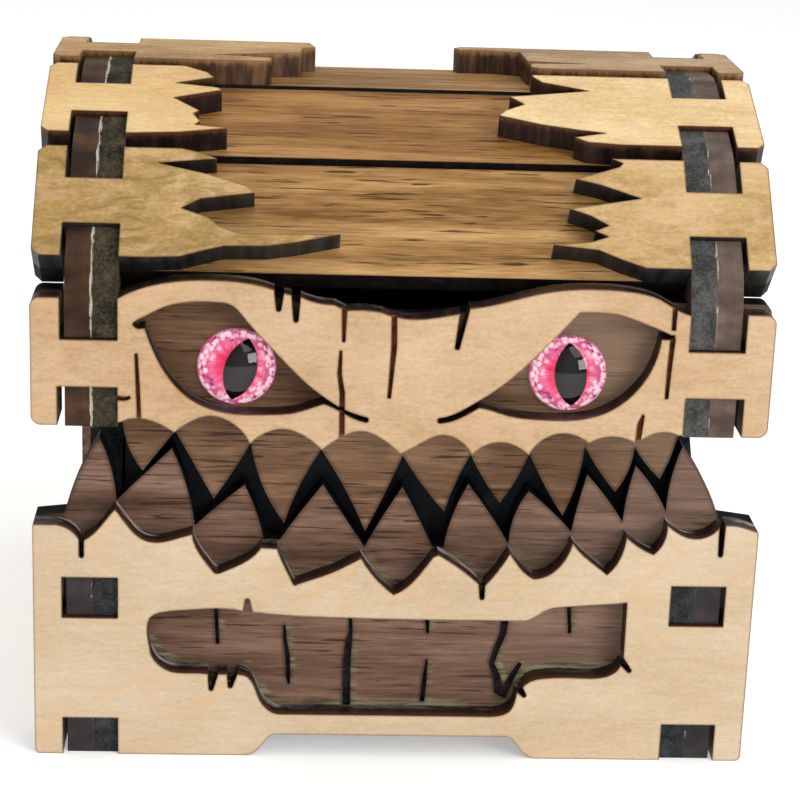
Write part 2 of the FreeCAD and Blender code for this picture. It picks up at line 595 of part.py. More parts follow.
# Upper edge of the birch lid front, right to left, between the brow slots.
BROWS = [
    [(34.55, 59.2), (32.5, 60.0), (30.6, 61.1), (26.9, 62.0), (22.2, 62.2), (17.6, 61.8), (13.8, 60.9),
     (10.6, 60.0), (7.7, 59.5)],
    [(6.5, 58.8), (4.0, 58.3), (1.5, 58.0), (-1.0, 58.2), (-3.0, 58.8)],
    [(-3.0, 58.8), (-5.0, 59.0), (-7.2, 58.9)],
    [(-7.2, 58.9), (-8.7, 59.6)],
    [(-8.7, 59.6), (-11.1, 59.9), (-12.7, 60.5)],
    [(-13.8, 60.7), (-14.7, 60.9)],
    [(-15.9, 61.3), (-18.2, 61.9), (-22.8, 62.3), (-27.3, 62.1), (-31.5, 61.2), (-34.55, 59.8)],
]
BROW_SLITS = {(7.7, 59.5): (6.3, 54.3), (-12.7, 60.5): (-13.2, 57.3), (-14.7, 60.9): (-15.3, 58.6)}

# Eye openings: round the outer corner, over the upper lid, along the tail towards the nose, round its
# end and back under the eye.
LEFT_EYE = [
    [(-32.1, 56.1), (-32.7, 56.6), (-32.0, 57.3)],
    [(-32.0, 57.3), (-30.7, 58.0), (-28.9, 58.9), (-27.1, 59.4), (-22.4, 59.6)],
    [(-22.4, 59.6), (-21.0, 59.3), (-20.1, 58.6)],
    [(-20.1, 58.6), (-18.2, 56.3), (-15.0, 52.9), (-11.1, 49.1), (-9.2, 47.7), (-7.6, 46.7), (-5.7, 45.9),
     (-4.4, 45.5)],
    [(-4.6, 44.9), (-6.1, 45.4), (-7.8, 46.3), (-9.6, 47.1)],
    [(-9.6, 47.1), (-11.0, 46.6), (-13.2, 45.9), (-16.5, 45.6), (-21.8, 45.8), (-25.8, 47.4), (-28.8, 50.6),
     (-30.7, 54.5), (-31.3, 56.2)],
    [(-31.3, 56.2), (-32.1, 56.1)],
]
RIGHT_EYE = [
    [(32.7, 56.0), (32.7, 56.7)],
    [(32.7, 56.7), (32.2, 56.7)],
    [(32.2, 56.7), (30.9, 57.3), (28.5, 58.2), (26.2, 59.0), (23.9, 59.3), (21.0, 59.3)],
    [(21.0, 59.3), (18.7, 56.6), (15.0, 52.6), (10.5, 48.7), (8.5, 47.4), (6.5, 46.2), (4.7, 45.6)],
    [(4.6, 44.9), (6.3, 45.3), (7.9, 46.1), (9.3, 47.0)],
    [(9.3, 47.0), (10.8, 46.7), (12.7, 46.1), (17.1, 45.6), (21.6, 45.7), (25.2, 46.8), (28.3, 49.3),
     (30.3, 52.6), (31.1, 56.1)],
    [(31.1, 56.1), (32.2, 56.1)],
    [(32.2, 56.1), (32.7, 56.0)],
]
# Round ends of the eye tails.
TAIL_ENDS = {(-4.4, 45.5): (-4.1, 45.1), (4.7, 45.6): (4.3, 45.2)}

FACE_CRACKS = [
    [(-7.4, 59.4, 0.6), (-7.4, 55.0, 0.35)],
    [(-7.7, 53.9, 0.3), (-7.8, 51.0, 0.5), (-7.4, 48.5, 0.6), (-7.3, 42.4, 0.6)],
    [(-1.4, 58.8, 0.6), (-1.3, 54.5, 0.65), (-1.5, 51.1, 0.5), (-1.7, 48.0, 0.4)],
    [(32.5, 60.6, 0.55), (32.5, 57.3, 0.5)],
    [(32.5, 56.3, 0.6), (32.3, 52.3, 0.5), (32.2, 48.6, 0.4)],
    [(29.5, 46.5, 0.3), (29.2, 45.2, 0.7), (29.0, 42.2, 0.55)],
    [(-32.3, 53.0, 0.35), (-32.1, 49.0, 0.45), (-31.9, 44.2, 0.45)],
    [(-35.0, 47.4, 0.6), (-33.6, 47.3, 0.5), (-33.0, 47.5, 0.35)],
]
WALL_TOP = CORNER - PLAY             # upper edge of the lid's walls, under the first and last plank


# Upper edge of the walnut sheet behind the brows, right to left: it sags between them.
INNER_BROW = [(24, WALL_TOP), (14, 58.9), (7, 58.1), (0, 57.5), (-7, 58.1), (-14, 59.2), (-24, WALL_TOP)]


def jaw_left(corner=1.2):
    """Lower left of the lid front: end, corner and the open slot."""
    low, slot = size("jaw_edge"), size("jaw_slot_high")
    edges = rounded((-HALF_WIDTH, low + corner), (-HALF_WIDTH, low), (-HALF_WIDTH + corner, low))
    return edges + straight((-HALF_WIDTH + corner, low), (-JAW_FAR, low), (-JAW_FAR, slot),
                            (-NEAR, slot))


def jaw_right(corner=1.2):
    """Lower right of the lid front."""
    low, slot = size("jaw_edge"), size("jaw_slot_high")
    edges = straight((NEAR, slot), (JAW_FAR, slot), (JAW_FAR, low), (HALF_WIDTH - corner, low))
    return edges + rounded((HALF_WIDTH - corner, low), (HALF_WIDTH, low), (HALF_WIDTH, low + corner))


def lid_ends(left_top, right_top, corner=1.2):
    """Upright ends and upper corners of the lid front, down into the brow slots."""
    low, slot = size("jaw_edge"), size("brow_slot_low")
    right = straight((HALF_WIDTH, low + corner), (HALF_WIDTH, right_top - corner))
    right += rounded((HALF_WIDTH, right_top - corner), (HALF_WIDTH, right_top),
                     (HALF_WIDTH - corner, right_top))
    right += straight((HALF_WIDTH - corner, right_top), (FAR, right_top), (FAR, slot), (NEAR, slot))
    left = straight((-NEAR, slot), (-FAR, slot), (-FAR, left_top), (-HALF_WIDTH + corner, left_top))
    left += rounded((-HALF_WIDTH + corner, left_top), (-HALF_WIDTH, left_top),
                    (-HALF_WIDTH, left_top - corner))
    left += straight((-HALF_WIDTH, left_top - corner), (-HALF_WIDTH, low + corner))
    return right + left


def lid_front():
    """Birch face with eye openings and brows, and the walnut sheet with the upper teeth."""
    slot, brow = size("jaw_slot_high"), size("brow_slot_low")
    edges = jaw_left() + jaw_right() + lid_ends(left_top=59.8, right_top=59.4)
    edges += straight((-NEAR, slot), (-NEAR, LID_SCALLOPS[0][0][1]), LID_SCALLOPS[0][0])
    edges += stretches(LID_SCALLOPS)
    edges += straight(LID_SCALLOPS[-1][-1], (NEAR, LID_SCALLOPS[-1][-1][1]), (NEAR, slot))
    edges += straight((NEAR, brow), BROWS[0][0]) + split_edge(BROWS, BROW_SLITS)
    edges += straight(BROWS[-1][-1], (-NEAR, brow))
    edges += split_edge(LEFT_EYE, TAIL_ENDS) + split_edge(RIGHT_EYE, TAIL_ENDS)
    outer = sheet_body("lid_front_outer", "XZ_Plane", edges, "birch_thickness", y=FRONT_OUTER)
    engrave(outer, FACE_CRACKS, "birch_thickness")

    first, last = UPPER_TEETH[0][0], UPPER_TEETH[-1][2]
    edges = jaw_left() + jaw_right() + lid_ends(WALL_TOP, WALL_TOP)
    edges += straight((-NEAR, slot), (-NEAR, first[1]), first)
    edges += teeth_edge(UPPER_TEETH, -1)
    edges += straight(last, (NEAR, last[1]), (NEAR, slot))
    edges += straight((NEAR, brow), (NEAR, WALL_TOP), INNER_BROW[0]) + smooth(*INNER_BROW)
    edges += straight(INNER_BROW[-1], (-NEAR, WALL_TOP), (-NEAR, brow))
    inner = sheet_body("lid_front_teeth", "XZ_Plane", edges, "walnut_thickness", y=FRONT_INNER)
    parts.extend([outer, inner])


# ---------------------------------------------------------------- lid: back and sides
def lid_back():
    """Birch and walnut sheets behind, from the rear parting line to the last plank."""
    slot, brow, low = size("jaw_slot_high"), size("brow_slot_low"), size("jaw_edge")
    for name, material, place, holes in (("outer", "birch", BACK_OUTER, screw_holes(1)),
                                         ("inner", "walnut", BACK_INNER, [])):
        right = [(HALF_WIDTH, LID_BOTTOM), (HALF_WIDTH, WALL_TOP), (FAR, WALL_TOP), (FAR, brow),
                 (NEAR, brow), (NEAR, WALL_TOP)]
        left = [(-x, z) for x, z in reversed(right)]
        edges = straight(left[-1], *right, *left)
        edges += both_sides(low, slot) + holes
        parts.append(sheet_body(f"lid_back_{name}", "XZ_Plane", edges, f"{material}_thickness", y=place))


def arch_tabs():
    """Points over the arch of a lid side, front to back, with a tab across each corner."""
    tilts = [0.0] + list(PLANK_TILTS.values()) + [180.0]
    brow = CORNER - size("brow_slot_low") - PLAY
    points = []
    for index, (y, z) in enumerate(corners):
        before, after = tilts[index], tilts[index + 1]
        reach_before = brow if index == 0 else NOTCH - PLAY
        reach_after = brow if index == len(corners) - 1 else NOTCH - PLAY
        for tilt, step, out in ((before, -reach_before, 0), (before, -reach_before, TAB_REACH),
                                (before, 0, TAB_REACH), (after, 0, TAB_REACH),
                                (after, reach_after, TAB_REACH), (after, reach_after, 0)):
            dy, dz = along(tilt)
            ny, nz = outward(tilt)
            points.append((y + step * dy + out * ny, z + step * dz + out * nz))
    return points


def lid_side_edge():
    """Front tab, arch and back tab of a lid side, from the lower front to the lower back."""
    low, high = size("jaw_edge"), size("jaw_slot_high") - PLAY
    front = [(-INSIDE, JAW_TAB_LOW), (-INSIDE - TAB_REACH, JAW_TAB_LOW), (-INSIDE - TAB_REACH, high),
             (-INSIDE, high)]
    back = list(reversed(tab(1, low + PLAY, high)))
    return front + arch_tabs() + back + [(INSIDE, LID_BOTTOM)]


JAW_TAB_LOW = 43.5                   # underside of the lid's lower front tab
# Root behind the last tooth of the lid side.
LAST_ROOT = (14.6, 40.8)


def lid_side_outer():
    """Birch side of the lid: the mouth's upper lip runs back and drops to the parting line."""
    edges = straight(SIDE_JAW[0][0], *lid_side_edge(), (MOUTH_CORNER, LID_BOTTOM))
    for dip in SIDE_JAW:
        edges += smooth(*dip)
    return edges


def lid_side_inner():
    """Walnut side of the lid with its teeth."""
    edges = straight(SIDE_UPPER_TEETH[0][0], *lid_side_edge(), (UPPER_TEETH_END, LID_BOTTOM), LAST_ROOT)
    edges += teeth_edge(SIDE_UPPER_TEETH, -1)
    edges += straight(SIDE_UPPER_TEETH[-1][2], LAST_ROOT)
    return edges


# ---------------------------------------------------------------- lid: planks
# Broken inner ends of the birch overlays: (x, distance up the plank), lower edge to upper edge.
BROKEN_ENDS = {
    ("front_low", "left"): [
        (-30.6, 0), (-27.3, 0.2), (-24.4, 1.1), (-22.0, 1.8), (-16.8, 1.9), (-13.0, 2.6), (-8.0, 3.8),
        (-20.2, 3.6), (-22.6, 4.5), (-23.9, 5.7), (-27.3, 7.0), (-25.0, 8.4), (-18.5, 9.4), (-19.4, 10.4),
        (-24.0, 11.9), (-30.4, 13.4), (-23.2, 14.2), (-25.4, 15.1), (-27.6, PLANK)],
    ("front_high", "left"): [
        (-33.5, 0), (-27.9, 0.4), (-22.1, 1.5), (-26.1, 2.1), (-25.5, 2.9), (-26.4, 4.6), (-25.7, 5.3),
        (-29.0, 8.1), (-23.0, 10.1), (-23.6, 10.7), (-28.9, 11.5), (-24.1, 13.0), (-25.0, 14.2),
        (-27.9, PLANK)],
    ("top", "left"): [
        (-17.6, 0), (-16.8, 0.7), (-16.8, 2.6), (-24.5, 4.0), (-17.5, 6.2), (-13.0, 7.2), (-12.6, 11.2),
        (-11.0, 11.8), (-11.8, PLANK)],
    ("front_low", "right"): [
        (29.0, 0), (26.1, 1.1), (23.3, 2.4), (17.8, 3.0), (22.4, 3.5), (24.6, 4.3), (23.0, 5.1), (24.7, 5.9),
        (22.6, 7.2), (20.0, 8.2), (28.9, 9.9), (23.8, 11.8), (20.9, 12.5), (26.4, 14.4), (26.9, 15.0),
        (25.5, PLANK)],
    ("front_high", "right"): [
        (27.0, 0), (22.8, 0.4), (21.2, 1.4), (25.3, 2.5), (21.7, 3.1), (17.2, 4.1), (12.0, 5.9), (12.9, 7.1),
        (15.4, 8.6), (13.6, 10.3), (24.0, 12.1), (18.0, 13.9), (16.8, 15.3), (17.0, PLANK)],
    ("top", "right"): [
        (18.0, 0), (17.0, 1.0), (17.2, 3.4), (25.0, 4.4), (17.0, 5.4), (16.6, 12.4), (12.0, 13.4),
        (8.4, 13.2), (7.8, 14.4), (8.8, PLANK)],
}
# The back planks repeat the front ones, turned end for end.
for name, twin in (("back_high", "front_high"), ("back_low", "front_low")):
    for side, other in (("left", "right"), ("right", "left")):
        BROKEN_ENDS[name, side] = [(-x, PLANK - up) for x, up in reversed(BROKEN_ENDS[twin, other])]


def notched_end(side, corner=0.9):
    """Points around one notched end of a plank, from its lower edge up to its upper edge."""
    near, far, end = side * NEAR, side * FAR, side * HALF_WIDTH
    return [(near, 0), (near, NOTCH), (far, NOTCH), (far, 0), (end - side * corner, 0), (end, corner),
            (end, PLANK - corner), (end - side * corner, PLANK), (far, PLANK), (far, PLANK - NOTCH),
            (near, PLANK - NOTCH), (near, PLANK)]


def planks():
    """Walnut planks over the arch, each with a broken birch overlay at its left and right end."""
    for (name, tilt), (y, z) in zip(PLANK_TILTS.items(), corners):
        walnut = notched_end(1) + list(reversed(notched_end(-1)))
        parts.append(sheet_body(f"plank_{name}", "XY_Plane", straight(*walnut, walnut[0]),
                                "walnut_thickness", tilt=tilt, origin=(y, z)))
        ny, nz = outward(tilt)
        lift = (y + WALNUT * ny, z + WALNUT * nz)
        for word, side in (("left", -1), ("right", 1)):
            loop = notched_end(side) + list(reversed(BROKEN_ENDS[name, word]))
            parts.append(sheet_body(f"overlay_{name}_{word}", "XY_Plane", straight(*loop, loop[0]),
                                    "birch_thickness", tilt=tilt, origin=lift))


# ---------------------------------------------------------------- glass eyes
def eyes():
    """Glass domes on printed discs, glued to the walnut inside the eye openings."""
    sphere_radius = "(Sizes.eye_radius ^ 2 + Sizes.eye_dome ^ 2) / (2 * Sizes.eye_dome)"
    walnut_face = -FACE + BIRCH + SHIFT
    for side, word in ((-1, "left"), (1, "right")):
        centre = FreeCAD.Vector(side * size("eye_spread"), walnut_face, size("eye_height"))
        towards_front = FreeCAD.Rotation(FreeCAD.Vector(1, 0, 0), 90)
        disc = doc.addObject("Part::Cylinder", f"iris_{word}")
        disc.Label = f"iris_{word}"
        disc.setExpression("Radius", "Sizes.eye_radius - 0.1")
        disc.setExpression("Height", "Sizes.iris_thickness")
        disc.Placement = FreeCAD.Placement(centre, towards_front)
        ball = doc.addObject("Part::Sphere", f"eye_ball_{word}")
        ball.setExpression("Radius", sphere_radius)
        ball.setExpression("Placement.Base.z", "Sizes.eye_dome - " + sphere_radius)
        stock = doc.addObject("Part::Cylinder", f"eye_stock_{word}")
        stock.setExpression("Radius", "Sizes.eye_radius + 1")
        stock.setExpression("Height", "Sizes.eye_dome + 1")
        glass = doc.addObject("Part::Common", f"eye_glass_{word}")
        glass.Label = f"eye_glass_{word}"
        glass.Base, glass.Tool = ball, stock
        lift = FreeCAD.Vector(0, -size("iris_thickness"), 0)
        glass.Placement = FreeCAD.Placement(centre + lift, towards_front)
        parts.extend([disc, glass])


# ---------------------------------------------------------------- hinges
def bound(kind, name, **expressions):
    """A primitive whose properties are bound to the sheet; underscores stand for dots."""
    item = doc.addObject(kind, name)
    for prop, expression in expressions.items():
        item.setExpression(prop.replace("_", "."), expression)
    return item


def barrel(name, low, high, radius, centre):
    """Cylinder along X between two expressions, centred on the hinge axis."""
    item = bound("Part::Cylinder", name, Radius=radius, Height=f"({high}) - ({low})")
    item.Placement = FreeCAD.Placement(FreeCAD.Vector(0, HINGE_Y + SHIFT, PARTING),
                                       FreeCAD.Rotation(FreeCAD.Vector(0, 1, 0), 90))
    item.setExpression("Placement.Base.x", f"{centre} + ({low})")
    return item


def hinge_leaf(name, level, centre, knuckles, bore):
    """Leaf plate below (-1) or above (1) the axis, with its knuckles and screw holes.

    knuckles lists the (low, high) stretches along the axis, as shares of the leaf's width.
    """
    face = FACE + SHIFT
    low = f"{PARTING} - Sizes.leaf_height" if level < 0 else f"{PARTING} + Sizes.barrel_offset"
    pieces = [bound("Part::Box", name + "_plate", Length="Sizes.leaf_width", Width="Sizes.leaf_thickness",
                    Height="Sizes.leaf_height - Sizes.barrel_offset",
                    Placement_Base_x=f"{centre} - Sizes.leaf_width / 2", Placement_Base_y=f"{face}",
                    Placement_Base_z=low)]
    for index, (start, end) in enumerate(knuckles):
        low_x, high_x = f"Sizes.leaf_width * {start}", f"Sizes.leaf_width * {end}"
        pieces.append(barrel(f"{name}_knuckle_{index}", low_x, high_x, "Sizes.barrel_radius", centre))
        web_z = f"{PARTING} - Sizes.barrel_offset" if level < 0 else f"{PARTING}"
        web = bound("Part::Box", f"{name}_web_{index}", Length=f"({high_x}) - ({low_x})",
                    Width="Sizes.leaf_thickness", Height="Sizes.barrel_offset",
                    Placement_Base_x=f"{centre} + {low_x}", Placement_Base_y=f"{face}",
                    Placement_Base_z=web_z)
        pieces.append(web)
    solid = doc.addObject("Part::MultiFuse", name + "_solid")
    solid.Shapes = pieces
    cutters = [barrel(name + "_bore", "-Sizes.leaf_width / 2", "Sizes.leaf_width / 2", bore, centre)]
    for x, drop in SCREWS:
        if drop * level > 0 and abs(x - centre) < size("leaf_width") / 2:
            hole = bound("Part::Cylinder", f"{name}_hole_{len(cutters)}", Radius="Sizes.screw_radius",
                         Height="2 * Sizes.leaf_thickness")
            start = FreeCAD.Vector(x, face + 1.5 * size("leaf_thickness"), PARTING + drop)
            hole.Placement = FreeCAD.Placement(start, FreeCAD.Rotation(FreeCAD.Vector(1, 0, 0), 90))
            cutters.append(hole)
    tools = doc.addObject("Part::MultiFuse", name + "_cutters")
    tools.Shapes = cutters
    leaf = doc.addObject("Part::Cut", name)
    leaf.Label = name
    leaf.Base, leaf.Tool = solid, tools
    parts.append(leaf)


# Knuckles along the axis, as shares of the leaf's width from its middle.
BASE_KNUCKLES = [(-0.5, -0.17), (0.17, 0.5)]
LID_KNUCKLES = [(-0.162, 0.162)]


def hinges():
    """Two butt hinges on the back face: base leaf, lid leaf, pin and four screws each."""
    for side, word in ((-1, "left"), (1, "right")):
        centre = side * size("hinge_spread")
        hinge_leaf(f"hinge_{word}_base_leaf", -1, centre, BASE_KNUCKLES, "Sizes.pin_radius")
        hinge_leaf(f"hinge_{word}_lid_leaf", 1, centre, LID_KNUCKLES, "Sizes.pin_radius + Sizes.pin_play")
        pin = barrel(f"hinge_{word}_pin", "-Sizes.leaf_width / 2", "Sizes.leaf_width / 2",
                     "Sizes.pin_radius", centre)
        pin.Label = f"hinge_{word}_pin"
        parts.append(pin)
    leaf_face = FACE + SHIFT + size("leaf_thickness")
    for index, (x, drop) in enumerate(SCREWS, start=1):
        head = bound("Part::Cylinder", f"screw_{index}_head", Radius="Sizes.screw_head_radius",
                     Height="Sizes.screw_head_height", Placement_Base_z="Sizes.screw_length")
        shank = bound("Part::Cylinder", f"screw_{index}_shank", Radius="Sizes.screw_radius",
                      Height="Sizes.screw_length")
        screw = doc.addObject("Part::Fuse", f"hinge_screw_{index}")
        screw.Label = f"hinge_screw_{index}"
        screw.Base, screw.Tool = head, shank
        place = FreeCAD.Vector(x, leaf_face - size("screw_length"), PARTING + drop)
        screw.Placement = FreeCAD.Placement(place, FreeCAD.Rotation(FreeCAD.Vector(1, 0, 0), -90))
        parts.append(screw)


# ---------------------------------------------------------------- build
base_front()
base_back()
side_sheets("base", base_side_outer, base_side_inner)
base_floor()
tray()
lid_front()
lid_back()
side_sheets("lid", lid_side_outer, lid_side_inner)
planks()
eyes()
hinges()
doc.recompute()

for item in doc.Objects:
    bad = [state for state in item.State if state in ("Invalid", "Error")]
    if bad:
        raise RuntimeError(f"{item.Label} failed: {bad}")
for part in parts:
    if part.Shape.isNull() or not part.Shape.isValid():
        raise RuntimeError(f"{part.Label} has no valid shape")
    if len(part.Shape.Solids) != 1:
        raise RuntimeError(f"{part.Label} has {len(part.Shape.Solids)} solids")

for part in parts:
    part.Shape.exportStep(f"parts/{part.Label}.step")
print(len(parts), "pieces written")
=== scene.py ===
"""Dice storage chest: finishes, fine parts, light and camera around the fixed frame.

The chest is cut from two layers of sheet wood: birch plywood outside, walnut-faced
fibreboard inside. Lengths with the ending _mm are millimetres, all others are metres.
"""
import logging
import math
from dataclasses import dataclass, field, replace
from enum import Enum
from typing import Iterable

import bmesh
import bpy
from mathutils import Matrix, Vector


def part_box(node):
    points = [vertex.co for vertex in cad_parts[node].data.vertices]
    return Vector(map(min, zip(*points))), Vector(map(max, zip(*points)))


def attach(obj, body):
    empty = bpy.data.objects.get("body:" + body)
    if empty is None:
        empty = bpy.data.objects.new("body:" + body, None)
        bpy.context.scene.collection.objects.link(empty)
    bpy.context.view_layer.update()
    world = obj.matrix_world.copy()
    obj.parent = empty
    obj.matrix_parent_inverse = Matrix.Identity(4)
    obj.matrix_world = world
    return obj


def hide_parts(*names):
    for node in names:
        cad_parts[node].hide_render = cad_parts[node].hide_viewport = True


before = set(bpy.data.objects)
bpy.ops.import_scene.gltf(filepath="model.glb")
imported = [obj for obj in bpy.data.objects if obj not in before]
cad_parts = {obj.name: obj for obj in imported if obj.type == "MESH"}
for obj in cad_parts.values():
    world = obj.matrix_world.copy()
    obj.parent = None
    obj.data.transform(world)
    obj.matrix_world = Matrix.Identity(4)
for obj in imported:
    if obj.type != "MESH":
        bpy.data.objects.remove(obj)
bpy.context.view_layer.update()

LOG = logging.getLogger("chest")
MM = 0.001
Socket = bpy.types.NodeSocket
Tones = tuple[str, str, str]  # sRGB hex colours from dark to light
Triple = tuple[float, float, float]
Limit = tuple | Socket  # see Coat.mask


# ---- small helpers
def linear(colour: str) -> tuple[float, float, float, float]:
    """Turns an sRGB hex colour into linear light.

    Args:
        colour: six hex digits after a hash sign.

    Returns:
        Red, green, blue and an alpha of 1.
    """
    parts = [int(colour[i:i + 2], 16) / 255 for i in (1, 3, 5)]
    light = [c / 12.92 if c <= 0.04045 else ((c + 0.055) / 1.055) ** 2.4 for c in parts]
    return light[0], light[1], light[2], 1.0


class Coat:
    """The nodes of one material, laid on coat by coat.

    Its attributes are the material, its node tree, and the place on the piece in millimetres.
    """

    def __init__(self, name: str, turn: Triple = (0, 0, 0), shift_mm: Triple = (0, 0, 0)) -> None:
        """Starts the material.

        Args:
            name: the material's name.
            turn: Euler angles from the row frame to the place's own axes.
            shift_mm: what is added to the place along them.
        """
        self.material = bpy.data.materials.new(name)
        self.material.use_nodes = True
        self.tree = self.material.node_tree
        self.tree.nodes.clear()
        where = self.add("TexCoord", out="Object")
        self.place = self.add("Mapping", {"Vector": where, "Scale": (1 / MM,) * 3, "Rotation": turn,
                                          "Location": shift_mm})

    def add(self, kind: str, links: dict | None = None, out: int | str = 0,
            stops: Iterable[tuple[float, str]] = (), **settings: object) -> Socket | None:
        """Adds a node with its settings and links.

        Args:
            kind: the node's type without its ShaderNode prefix.
            links: socket name or number, to another node's output, a value or a hex colour.
            out: the output that is wanted.
            stops: on a colour ramp, places in rising order with their hex colours.
            settings: properties of the node itself.

        Returns:
            The wanted output, or None for a node that has none.
        """
        node = self.tree.nodes.new("ShaderNode" + kind)
        for name, value in settings.items():
            setattr(node, name, value)
        for key, value in (links or {}).items():
            if isinstance(value, Socket):
                self.tree.links.new(value, node.inputs[key])
            else:
                node.inputs[key].default_value = linear(value) if isinstance(value, str) else value
        for index, (place, colour) in enumerate(stops):
            elements = node.color_ramp.elements
            element = elements[index] if index < 2 else elements.new(place)
            element.position, element.color = place, linear(colour)
        return node.outputs[out] if node.outputs else None

    def figure(self, size_mm: Triple, detail: float = 2.0, rough: float = 0.5, bend: float = 0.0,
               place: Socket | None = None) -> Socket:
        """Cloudy figure, such as grain or soot, whose blotches have a real size.

        Args:
            size_mm: length, width and depth of one blotch.
            detail: octaves of finer noise.
            rough: strength of the finer octaves.
            bend: how much the blotches are distorted.
            place: what stands in for the place on the piece, if anything.

        Returns:
            The figure's output, about 0.25 to 0.75.
        """
        scaled = self.add("VectorMath", {0: place or self.place, 1: tuple(1 / s for s in size_mm)},
                          operation="MULTIPLY")
        return self.add("TexNoise", {"Vector": scaled, "Scale": 1.0, "Detail": detail, "Roughness": rough,
                                     "Distortion": bend})

    def mask(self, *limits: Limit) -> Socket:
        """Where a finish shows, which is as far as each of its limits lets it.

        Args:
            limits: each a value, where that hides the finish, where it shows it and, if that isn't 1, the
                share shown there. The border between is soft. A known share stands alone.

        Returns:
            The limits' product.
        """
        shown = None
        for limit in limits:
            if isinstance(limit, tuple):
                value, low, high, share = (*limit, 1.0)[:4]
                limit = self.add("MapRange", {"Value": value, "From Min": low, "From Max": high,
                                              "To Max": share}, interpolation_type="SMOOTHSTEP")
            if shown is not None:
                limit = self.add("Math", {0: shown, 1: limit}, operation="MULTIPLY")
            shown = limit
        return shown

    def lay_over(self, under: Socket | str, over: Socket | str, *limits: Limit) -> Socket:
        """Lays one colour over another, such as soot over wood.

        Args:
            under: the lower colour.
            over: the upper colour.
            limits: where the upper colour covers, as for mask.

        Returns:
            The resulting colour.
        """
        share = self.mask(*limits)
        return self.add("Mix", {0: share, 6: under, 7: over}, out=2, data_type="RGBA")

    def weigh(self, *parts: tuple[Socket, float]) -> Socket:
        """Adds figures up, each with its weight.

        Args:
            parts: each figure's output and its weight.

        Returns:
            The sum's output.
        """
        total = 0.0
        for value, weight in parts:
            total = self.add("Math", {0: value, 1: weight, 2: total}, operation="MULTIPLY_ADD")
        return total

    def finish(self, links: dict) -> bpy.types.Material:
        """Closes the tree with a principled shader.

        Args:
            links: the shader's sockets, as for add.

        Returns:
            The finished material.
        """
        self.add("OutputMaterial", {"Surface": self.add("BsdfPrincipled", links)})
        return self.material


def dress(node_name: str, material: bpy.types.Material) -> None:
    """Puts a material on a node of the frame.

    Args:
        node_name: the frame's node.
        material: its finish.
    """
    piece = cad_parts[node_name]
    if not piece.material_slots:
        piece.data.materials.append(material)
    for material_slot in piece.material_slots:
        material_slot.material = material
    LOG.info("dressed %s in %s", node_name, material.name)


def spin_section(points: list[Triple], centre: Triple, axis: Triple, steps: int,
                 weld: float) -> bmesh.types.BMesh:
    """Spins a half section round an axis.

    Args:
        points: the section's corners, from the axis round to the axis.
        centre: a point on the axis.
        axis: its direction.
        steps: faces in a full turn.
        weld: corners that are nearer to each other than this become one.

    Returns:
        The closed shape.
    """
    mesh = bmesh.new()
    corners = [mesh.verts.new(point) for point in points]
    edges = [mesh.edges.new(pair) for pair in zip(corners, corners[1:])]
    bmesh.ops.spin(mesh, geom=corners + edges, cent=centre, axis=axis, angle=math.tau, steps=steps,
                   use_merge=True)
    bmesh.ops.remove_doubles(mesh, verts=mesh.verts, dist=weld)
    return mesh


def set_down(name: str, mesh: bmesh.types.BMesh) -> bpy.types.Object:
    """Turns a finished bmesh into an object of the scene.

    Args:
        name: the name of the object and of its mesh.
        mesh: the modelled shape, in place. It is freed.

    Returns:
        The new object.
    """
    data = bpy.data.meshes.new(name)
    mesh.to_mesh(data)
    mesh.free()
    made = bpy.data.objects.new(name, data)
    bpy.context.scene.collection.objects.link(made)
    return made


def add_piece(name: str, mesh: bmesh.types.BMesh, material: bpy.types.Material, body: str,
              smooth: bool = True) -> bpy.types.Object:
    """Makes a piece that rides on a body.

    Args:
        name: the piece's name.
        mesh: the modelled shape, in place. It is freed.
        material: its finish.
        body: the body it moves with.
        smooth: whether faces are shaded smooth.

    Returns:
        The new object.
    """
    bmesh.ops.recalc_face_normals(mesh, faces=mesh.faces)
    for face in mesh.faces:
        face.smooth = smooth
    piece = set_down(name, mesh)
    piece.data.materials.append(material)
    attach(piece, body)
    LOG.info("made %s, %d faces, on %s", name, len(piece.data.polygons), body)
    return piece


# ---- how sheets lie
@dataclass(frozen=True)
class Lie:
    """Unit directions along a sheet's grain, across it and out of its outer face."""

    grain: Triple
    across: Triple
    out: Triple

    def turn(self) -> Triple:
        """Euler angles that take the row frame to the sheet's own axes."""
        return tuple(Matrix((self.grain, self.across, self.out)).to_euler())

    def span(self, node_name: str) -> tuple[float, float]:
        """How far out a node's two faces lie, in millimetres.

        Args:
            node_name: the frame's node.

        Returns:
            Place of the inner and of the outer face along out.
        """
        out = Vector(self.out)
        places = [out.dot(v.co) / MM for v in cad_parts[node_name].data.vertices]
        return min(places), max(places)


def plank_lie(tilt: float) -> Lie:
    """Lie of a lid plank.

    Args:
        tilt: degrees from upright, over the arch from the front.

    Returns:
        The plank's directions.
    """
    s, c = math.sin(math.radians(tilt)), math.cos(math.radians(tilt))
    return Lie((1, 0, 0), (0, s, c), (0, -c, s))


class Wall(Enum):
    """The upright walls and the floor, by the way they face."""

    FRONT = Lie((1, 0, 0), (0, 0, 1), (0, -1, 0))
    BACK = Lie((-1, 0, 0), (0, 0, 1), (0, 1, 0))
    LEFT = Lie((0, -1, 0), (0, 0, 1), (-1, 0, 0))
    RIGHT = Lie((0, 1, 0), (0, 0, 1), (1, 0, 0))
    FLOOR = Lie((1, 0, 0), (0, 1, 0), (0, 0, 1))


